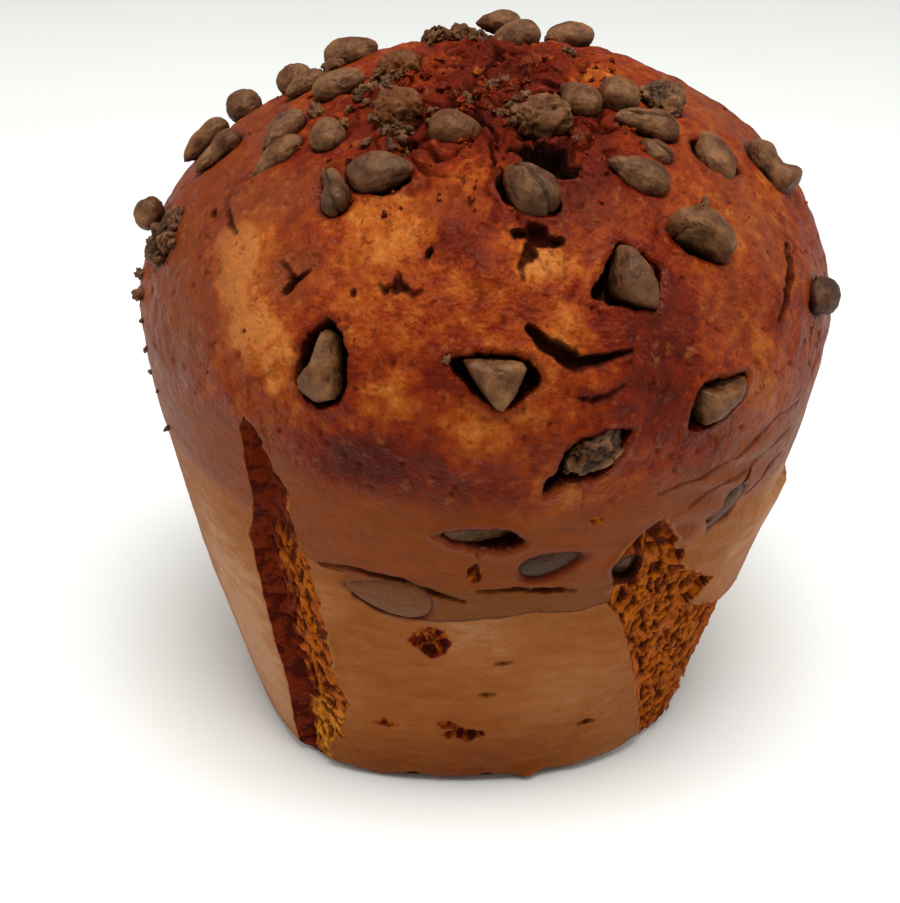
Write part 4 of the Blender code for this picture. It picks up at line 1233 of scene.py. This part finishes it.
# Single pieces of chocolate: place and half-width
FRAGMENTS = (
    (156.8, 19.2, 1.15), (159.5, 20.7, 0.85), (-156.8, 20.3, 1.25), (-169.0, 46.4, 0.95), (-166.5, 48.4, 0.85),
    (-161.8, 53.3, 0.4), (-156.0, 61.6, 0.5), (-172.8, 43.3, 0.6), (-158.5, 40.0, 0.6), (-46.2, 31.1, 0.9),
    (-96.5, 42.8, 0.55), (-153.0, 24.5, 0.6), (-148.0, 18.0, 0.7), (-139.0, 20.0, 0.6), (-66.0, 19.5, 0.5),
    (-163.0, 56.5, 0.35), (-158.0, 57.5, 0.3), (-164.0, 50.6, 0.35), (-150.0, 27.8, 0.45), (-127.0, 21.5, 0.7),
)
CRUST_CRUMBS = 240
CRUMB_REACH = 21.0
DOME_CRUMBS = 60
# Shreds of torn skin and crumb: place, length, and how far to the right of downhill each points, in degrees
SHREDS = (
    (-31.0, 99.0, 2.0, 20.0), (-30.0, 95.9, 1.8, 10.0), (-34.5, 99.9, 2.2, -20.0), (-36.0, 97.0, 1.6, -35.0),
    (-52.0, 79.0, 3.4, -50.0), (-47.0, 73.5, 3.0, -60.0), (-44.0, 90.0, 2.6, -30.0), (-33.0, 92.0, 2.0, 5.0),
    (-58.5, 74.8, 1.8, -40.0), (-126.0, 98.0, 1.6, 0.0),
)
LUMP_KINDS = 10


def lump(seed, ragged, detail):
    """An irregular lump about 1 in radius."""
    directions, faces = ball(detail)
    lost = directions + seed * 5.3
    reach = 1.0 + ragged * fractal(lost, 0.9, 3, 92) - 0.7 * ragged * smooth(1.0 - abs(noise(lost, 0.7, 96)) / 0.3)
    return directions * reach[:, None], faces


def any_turn(luck):
    """A random rotation."""
    w, x, y, z = unit(luck.normal(size=4))
    return np.array([
        [1 - 2 * (y * y + z * z), 2 * (x * y - z * w), 2 * (x * z + y * w)],
        [2 * (x * y + z * w), 1 - 2 * (x * x + z * z), 2 * (y * z - x * w)],
        [2 * (x * z - y * w), 2 * (y * z + x * w), 1 - 2 * (x * x + y * y)],
    ])


def strew(name, lumps, spots, material, shares):
    """One piece made of many lumps. A spot is a middle, a 3 by 3 shape and the values of its shares."""
    points, faces, values = [], [], {share: [] for share in shares}
    count = 0
    for number, (middle, shape, own) in enumerate(spots):
        lump_points, lump_faces = lumps[number % len(lumps)]
        points.append(middle + lump_points @ shape)
        faces += [[corner + count for corner in face] for face in lump_faces]
        count += len(lump_points)
        for share, value in zip(shares, own):
            values[share].append(np.full(len(lump_points), value))
    shares = {share: np.concatenate(parts) for share, parts in values.items()}
    return piece(name, np.concatenate(points), faces, material, None, shares)


class Ground:
    """Looks up the finished skin."""

    def __init__(self, skin):
        self.skin = skin
        self.tree = KDTree(len(skin.points))
        for index, point in enumerate(skin.points.tolist()):
            self.tree.insert(point, index)
        self.tree.balance()

    def at(self, point):
        index = self.tree.find(point.tolist())[1]
        return self.skin.final[index], self.skin.outward[index]


def flake_shape(luck, size, flatness):
    """A random turn with uneven sizes along its axes."""
    stretch = np.array([luck.uniform(0.8, 1.3), luck.uniform(0.6, 1.0), luck.uniform(flatness, 0.8)])
    return size * stretch[:, None] * any_turn(luck)


def chocolate_spots(ground, luck):
    spots = []
    for azimuth, distance, radius, count, height in HEAPS:
        origin, right, uphill, outward = spot(azimuth, distance)
        for flake in range(count):
            away = radius * luck.random() ** 0.6
            turn = luck.uniform(0.0, math.tau)
            aside = away * (math.cos(turn) * right + math.sin(turn) * uphill)
            place, up = ground.at(origin + aside)
            size = luck.uniform(0.3, 0.75)
            raised = height * (1.0 - (away / radius) ** 2) * luck.random() + 0.2 * size
            spots.append((place + up * raised, flake_shape(luck, size, 0.3), (luck.uniform(0.1, 0.75), 0.0)))
    for azimuth, distance, size in FRAGMENTS:
        place, up = ground.at(loaf(azimuth, distance))
        spots.append((place + up * size * 0.35, flake_shape(luck, size, 0.6), (luck.uniform(0.1, 0.5), 0.0)))
    return spots


def crust_spots(ground, luck):
    """Crumbs of crust: most on and round the burst crown, a few all over the dome."""
    spots = []
    centre, right, uphill, outward = spot(*BURST_PLACE)
    for number in range(CRUST_CRUMBS + DOME_CRUMBS):
        if number < CRUST_CRUMBS:
            away = CRUMB_REACH * luck.random() ** 0.8
            turn = luck.uniform(0.0, math.tau)
            place, up = ground.at(centre + away * (math.cos(turn) * right + math.sin(turn) * uphill))
            size = luck.uniform(0.18, 0.6) * (1.2 - 0.6 * away / CRUMB_REACH)
        else:
            place, up = ground.at(loaf(luck.uniform(-180.0, 180.0), luck.uniform(20.0, 55.0)))
            size = luck.uniform(0.1, 0.22)
        spots.append((place + up * size * 0.25, flake_shape(luck, size, 0.4), (luck.uniform(0.1, 0.55), 0.0)))
    for azimuth, distance, length, aside in SHREDS:
        origin, right, uphill, outward = spot(azimuth, distance)
        place, up = ground.at(origin)
        along = unit(-uphill * math.cos(math.radians(aside)) + right * math.sin(math.radians(aside)) + 0.25 * outward)
        across = unit(np.cross(along, up))
        shape = np.stack([across * 0.3, np.cross(across, along) * 0.18, along * length / 2.0])
        spots.append((place + up * 0.35, shape, (0.75, 0.5)))
    return spots


def build_crumbs(skin, crust, chocolate):
    ground = Ground(skin)
    luck = np.random.default_rng(2024)
    flakes = [lump(seed, 0.5, 3) for seed in range(LUMP_KINDS)]
    crumbs = [lump(seed + 50, 0.9, 3) for seed in range(LUMP_KINDS)]
    strew("chocolate_crumbs", flakes, chocolate_spots(ground, luck), chocolate, ("shade_and_dark_chocolate", "smeared"))
    strew("crust_crumbs", crumbs, crust_spots(ground, luck), crust, ("tone", "crumb"))


# Materials


def socket(tree, target, value):
    """Puts a number, a colour or another node's output on a socket."""
    if isinstance(value, bpy.types.NodeSocket):
        tree.links.new(value, target)
    else:
        target.default_value = value


def add_node(tree, kind, values=None, **settings):
    node = tree.nodes.new(kind)
    for key, value in settings.items():
        setattr(node, key, value)
    for key, value in (values or {}).items():
        socket(tree, node.inputs[key], value)
    return node


def calculate(tree, operation, a, b=0.0):
    return add_node(tree, "ShaderNodeMath", {0: a, 1: b}, operation=operation, use_clamp=True).outputs[0]


def scaled(tree, value, factor):
    return calculate(tree, "MULTIPLY", value, factor)


def blend(tree, share, a, b):
    """Colour a, and b where share is 1."""
    return add_node(tree, "ShaderNodeMix", {0: share, 6: a, 7: b}, data_type="RGBA").outputs[2]


def ramp_colours(tree, value, stops):
    """Colours along a value from 0 to 1."""
    node = add_node(tree, "ShaderNodeValToRGB", {"Fac": value})
    elements = node.color_ramp.elements
    while len(elements) < len(stops):
        elements.new(0.5)
    for element, (position, shade) in zip(elements, stops):
        element.position = position
        element.color = shade
    return node.outputs["Color"]


def share_of(tree, name):
    return add_node(tree, "ShaderNodeAttribute", attribute_name=name).outputs["Fac"]


def speckle(tree, where, size, detail=2.0, low=0.35, high=0.65, seed=0.0, rough=0.5):
    """Noise of that size in mm, spread to run from 0 to 1 between two levels."""
    values = {"Vector": where, "W": seed, "Scale": 1.0 / (size * MM), "Detail": detail, "Roughness": rough}
    found = add_node(tree, "ShaderNodeTexNoise", values, noise_dimensions="4D").outputs["Fac"]
    spread = {"Value": found, "From Min": low, "From Max": high}
    return add_node(tree, "ShaderNodeMapRange", spread).outputs["Result"]


def squeezed(tree, where, scale):
    return add_node(tree, "ShaderNodeMapping", {"Vector": where, "Scale": scale}).outputs["Vector"]


def new_material(name):
    made = bpy.data.materials.new(name)
    made.use_nodes = True
    tree = made.node_tree
    where = add_node(tree, "ShaderNodeTexCoord").outputs["Object"]
    return made, tree, tree.nodes["Principled BSDF"], where


def raise_bumps(tree, shader, height, distance, strength=1.0):
    values = {"Height": height, "Distance": distance * MM, "Strength": strength}
    bumps = add_node(tree, "ShaderNodeBump", values)
    socket(tree, shader.inputs["Normal"], bumps.outputs["Normal"])


def colour(red, green, blue):
    """A colour given as it looks on screen, from 0 to 255, as the linear one that a shader wants."""
    return tuple((part / 255.0) ** 2.2 for part in (red, green, blue)) + (1.0,)


CRUST_TONES = (
    (0.0, colour(64, 8, 1)), (0.3, colour(96, 24, 3)), (0.5, colour(124, 46, 8)), (0.7, colour(152, 76, 24)),
    (0.88, colour(178, 108, 52)), (1.0, colour(200, 138, 84)),
)
PAPER_RAMP = (
    (0.0, colour(108, 48, 10)), (0.4, colour(128, 70, 22)), (0.75, colour(144, 88, 46)), (1.0, colour(164, 118, 84)),
)
CRUST_DARK = colour(68, 12, 3)
# Partly painted shade, partly chocolate melted into the crust, round chips and pockets
CRUST_MELT_AND_SHADE = colour(84, 14, 3)
CRUST_PURPLE = colour(108, 52, 26)
BAND_BROWN = colour(116, 54, 10)
BAND_PURPLE = colour(102, 50, 16)
BAND_DARK = colour(72, 28, 10)
SMEAR_BROWN = colour(100, 56, 16)
PEEL_PALE = colour(160, 104, 54)
CRUMB_ORANGE = colour(156, 72, 4)
CRUMB_YELLOW = colour(180, 98, 14)
CRUMB_BRIGHT = colour(204, 128, 36)
# Painted shade in the torn crumb, together with its darker crumb
CRUMB_DEEP_AND_SHADE = colour(96, 20, 2)
# Painted shade in the crumb's pores and pits
CRUMB_PORE_SHADE = colour(60, 8, 1)
# Painted shade in cracks, pits, creases and dome holes
CREVICE_SHADE = colour(40, 5, 2)
# Painted shade in pockets, under chips and in the crown's hollow
SHADE_BLACK = colour(16, 4, 2)
SKIN_SPECULAR = 0.2
SKIN_GLINT = (1.0, 0.62, 0.35, 1.0)
CHOCOLATE_SPECULAR = 0.3
CHOCOLATE_GLINT = (1.0, 0.82, 0.6, 1.0)


def skin_material():
    made, tree, shader, where = new_material("baked_skin")
    level = squeezed(tree, where, (0.35, 0.35, 1.0))
    mottle = speckle(tree, where, 1.3, 4.0, 0.34, 0.68, 3.0, 0.6)
    grain = speckle(tree, where, 0.42, 2.0, 0.3, 0.7, 5.0)
    dots = speckle(tree, where, 0.6, 3.0, 0.6, 0.68, 7.0, 0.6)
    flecks = speckle(tree, where, 1.1, 2.0, 0.6, 0.72, 8.0)
    streaks = speckle(tree, level, 1.1, 3.0, 0.35, 0.65, 9.0)
    threads = speckle(tree, squeezed(tree, where, (0.3, 0.3, 2.2)), 1.0, 2.0, 0.62, 0.72, 10.0)
    shifted = calculate(tree, "ADD", share_of(tree, "tone"), scaled(tree, mottle, 0.26))
    shifted = calculate(tree, "ADD", shifted, scaled(tree, grain, 0.12))
    shifted = calculate(tree, "SUBTRACT", shifted, 0.17)
    base = ramp_colours(tree, shifted, CRUST_TONES)
    base = blend(tree, scaled(tree, share_of(tree, "purple"), 0.85), base, CRUST_PURPLE)
    base = blend(tree, scaled(tree, dots, 0.55), base, CRUST_DARK)
    base = blend(tree, scaled(tree, flecks, 0.22), base, CRUST_TONES[4][1])
    band = blend(tree, streaks, BAND_BROWN, BAND_PURPLE)
    band = blend(tree, scaled(tree, threads, 0.5), band, BAND_DARK)
    base = blend(tree, scaled(tree, share_of(tree, "band"), 0.88), base, band)
    paper_shift = calculate(tree, "ADD", share_of(tree, "tone"), scaled(tree, streaks, 0.2))
    papered = ramp_colours(tree, paper_shift, PAPER_RAMP)
    papered = blend(tree, scaled(tree, dots, 0.2), papered, BAND_DARK)
    base = blend(tree, share_of(tree, "papered"), base, papered)
    base = blend(tree, scaled(tree, share_of(tree, "smear"), 0.8), base, SMEAR_BROWN)
    base = blend(tree, scaled(tree, share_of(tree, "peel"), 0.5), base, PEEL_PALE)
    crumb = blend(tree, scaled(tree, mottle, 0.7), CRUMB_ORANGE, CRUMB_YELLOW)
    crumb = blend(tree, scaled(tree, share_of(tree, "glow"), 0.7), crumb, CRUMB_BRIGHT)
    # Painted shade in the groove, at the patch's edges, in the wall holes and under the foot's edge, with darker crumb
    # at random in the patch.
    crumb = blend(tree, scaled(tree, share_of(tree, "gloom"), 0.9), crumb, CRUMB_DEEP_AND_SHADE)
    # Painted shade in the crumb's pits.
    pits = speckle(tree, where, 0.7, 4.0, 0.5, 0.62, 11.0, 0.6)
    crumb = blend(tree, scaled(tree, pits, 0.7), crumb, CRUMB_PORE_SHADE)
    base = blend(tree, share_of(tree, "crumb"), base, crumb)
    # Painted shade in the pores.
    base = blend(tree, scaled(tree, share_of(tree, "pores"), 0.9), base, CRUMB_PORE_SHADE)
    # A rim round chips and pockets: partly painted shade, partly melted chocolate.
    base = blend(tree, scaled(tree, share_of(tree, "rim"), 0.7), base, CRUST_MELT_AND_SHADE)
    # Painted shade in cracks, pits, creases, dome holes and under the band's lip.
    base = blend(tree, scaled(tree, share_of(tree, "crevice"), 0.95), base, CREVICE_SHADE)
    # Painted shade in black in pockets, under chips and in the crown's hollow.
    base = blend(tree, share_of(tree, "stain"), base, SHADE_BLACK)
    base = blend(tree, scaled(tree, grain, 0.14), base, CRUST_DARK)
    socket(tree, shader.inputs["Base Color"], base)
    shader.inputs["Specular IOR Level"].default_value = SKIN_SPECULAR
    shader.inputs["Specular Tint"].default_value = SKIN_GLINT
    dull = calculate(tree, "ADD", 0.46, scaled(tree, mottle, 0.16))
    dull = calculate(tree, "ADD", dull, scaled(tree, share_of(tree, "papered"), 0.12))
    dull = calculate(tree, "ADD", dull, scaled(tree, share_of(tree, "crumb"), 0.3))
    dull = calculate(tree, "ADD", dull, scaled(tree, share_of(tree, "burst"), 0.2))
    dull = calculate(tree, "ADD", dull, scaled(tree, share_of(tree, "crevice"), 0.4))
    dull = calculate(tree, "SUBTRACT", dull, scaled(tree, share_of(tree, "rim"), 0.18))
    dull = calculate(tree, "SUBTRACT", dull, scaled(tree, share_of(tree, "purple"), 0.08))
    socket(tree, shader.inputs["Roughness"], dull)
    swell = speckle(tree, where, 1.1, 1.5, 0.3, 0.7, 12.0)
    smoothness = calculate(tree, "ADD", share_of(tree, "band"), share_of(tree, "papered"))
    relief = calculate(tree, "ADD", scaled(tree, swell, 0.5), scaled(tree, grain, 0.4))
    relief = calculate(tree, "SUBTRACT", relief, scaled(tree, dots, 0.3))
    relief = calculate(tree, "MULTIPLY", relief, calculate(tree, "SUBTRACT", 1.0, scaled(tree, smoothness, 0.7)))
    relief = calculate(tree, "SUBTRACT", relief, scaled(tree, calculate(tree, "MULTIPLY", pits, share_of(tree, "crumb")), 0.5))
    raise_bumps(tree, shader, relief, 0.3, 0.8)
    return made


CHIP_BROWN = colour(80, 42, 20)
CHIP_BLOOM = colour(130, 90, 58)
# Dark chocolate in the veins, and painted shade on the chips
CHIP_DARK_AND_SHADE = colour(32, 13, 7)
CHIP_SMEAR = colour(96, 50, 14)


def chocolate_material():
    made, tree, shader, where = new_material("bloomed_chocolate")
    cloud = speckle(tree, where, 2.0, 3.0, 0.36, 0.66)
    grain = speckle(tree, where, 0.35, 2.0, 0.3, 0.7, 4.0)
    veins = speckle(tree, squeezed(tree, where, (1.0, 1.0, 0.6)), 0.8, 3.0, 0.52, 0.66, 6.0)
    base = blend(tree, cloud, CHIP_BROWN, CHIP_BLOOM)
    base = blend(tree, scaled(tree, veins, 0.35), base, CHIP_DARK_AND_SHADE)
    # Painted shade on the chips' undersides and in their dents, with their own darker chocolate.
    base = blend(tree, scaled(tree, share_of(tree, "shade_and_dark_chocolate"), 0.85), base, CHIP_DARK_AND_SHADE)
    base = blend(tree, scaled(tree, grain, 0.2), base, CHIP_BROWN)
    base = blend(tree, scaled(tree, share_of(tree, "smeared"), 0.9), base, CHIP_SMEAR)
    socket(tree, shader.inputs["Base Color"], base)
    shader.inputs["Specular IOR Level"].default_value = CHOCOLATE_SPECULAR
    shader.inputs["Specular Tint"].default_value = CHOCOLATE_GLINT
    socket(tree, shader.inputs["Roughness"], calculate(tree, "ADD", 0.46, scaled(tree, cloud, 0.2)))
    relief = calculate(tree, "SUBTRACT", 0.6, scaled(tree, veins, 0.4))
    relief = calculate(tree, "ADD", relief, scaled(tree, grain, 0.3))
    raise_bumps(tree, shader, relief, 0.22, 0.8)
    return made


# The camera, the floor and the light

VIEW_ELEVATION = 28.0
VIEW_ROLL = 1.489
VIEW_DISTANCE = 200.0
VIEW_TARGET = (-3.694, 0.0, 27.725)
LENS = 67.6
SENSOR = 36.0


def add_camera():
    elevation = math.radians(VIEW_ELEVATION)
    back = Vector((0.0, -math.cos(elevation), math.sin(elevation)))
    right = Vector((1.0, 0.0, 0.0))
    up = back.cross(right)
    roll = math.radians(VIEW_ROLL)
    turned_right = right * math.cos(roll) + up * math.sin(roll)
    turned_up = up * math.cos(roll) - right * math.sin(roll)
    data = bpy.data.cameras.new("view")
    data.lens = LENS
    data.sensor_width = SENSOR
    data.clip_start = 0.01
    made = bpy.data.objects.new("view", data)
    made.matrix_world = Matrix((turned_right, turned_up, back)).transposed().to_4x4()
    made.location = (Vector(VIEW_TARGET) + back * VIEW_DISTANCE) * MM
    bpy.context.scene.collection.objects.link(made)
    bpy.context.scene.camera = made


FLOOR_HALF = 1.5
FLOOR_LIGHT = (0.84, 0.855, 0.82, 1.0)
FLOOR_DULL = (0.82, 0.835, 0.8, 1.0)


def add_floor():
    mesh = bpy.data.meshes.new("floor")
    corners = [(x * FLOOR_HALF, y * FLOOR_HALF, 0.0) for x, y in ((-1, -1), (1, -1), (1, 1), (-1, 1))]
    mesh.from_pydata(corners, [], [(0, 1, 2, 3)])
    made, tree, shader, where = new_material("pale_floor")
    cloud = speckle(tree, where, 60.0, 2.0, 0.3, 0.7)
    socket(tree, shader.inputs["Base Color"], blend(tree, cloud, FLOOR_DULL, FLOOR_LIGHT))
    shader.inputs["Roughness"].default_value = 0.7
    mesh.materials.append(made)
    floor = bpy.data.objects.new("floor", mesh)
    bpy.context.scene.collection.objects.link(floor)


# Name, place, aim, diameter and power
LIGHTS = (
    ("top", (0.02, -0.12, 0.6), (0.0, 0.0, 0.04), 0.45, 4.4),
    ("left", (-0.6, -0.1, 0.4), (0.0, 0.0, 0.04), 0.4, 1.2),
    ("right", (0.6, 0.0, 0.4), (0.0, 0.0, 0.05), 0.4, 1.3),
)
SKY = 0.34


def add_lights():
    for name, place, aim, size, power in LIGHTS:
        data = bpy.data.lights.new(name, "AREA")
        data.shape = "DISK"
        data.size = size
        data.energy = power
        made = bpy.data.objects.new(name, data)
        made.location = place
        made.rotation_mode = "QUATERNION"
        made.rotation_quaternion = (Vector(aim) - Vector(place)).to_track_quat("-Z", "Y")
        bpy.context.scene.collection.objects.link(made)
    world = bpy.data.worlds.new("studio")
    world.use_nodes = True
    world.node_tree.nodes["Background"].inputs["Color"].default_value = (1.0, 1.0, 1.0, 1.0)
    world.node_tree.nodes["Background"].inputs["Strength"].default_value = SKY
    bpy.context.scene.world = world


def main():
    bpy.context.scene.view_settings.view_transform = "Standard"
    add_camera()
    add_floor()
    add_lights()
    crust, chocolate = skin_material(), chocolate_material()
    skin, faces, chips = shape_skin()
    build_skin(skin, faces, crust)
    build_chips(chips, chocolate)
    build_crumbs(skin, crust, chocolate)


main()
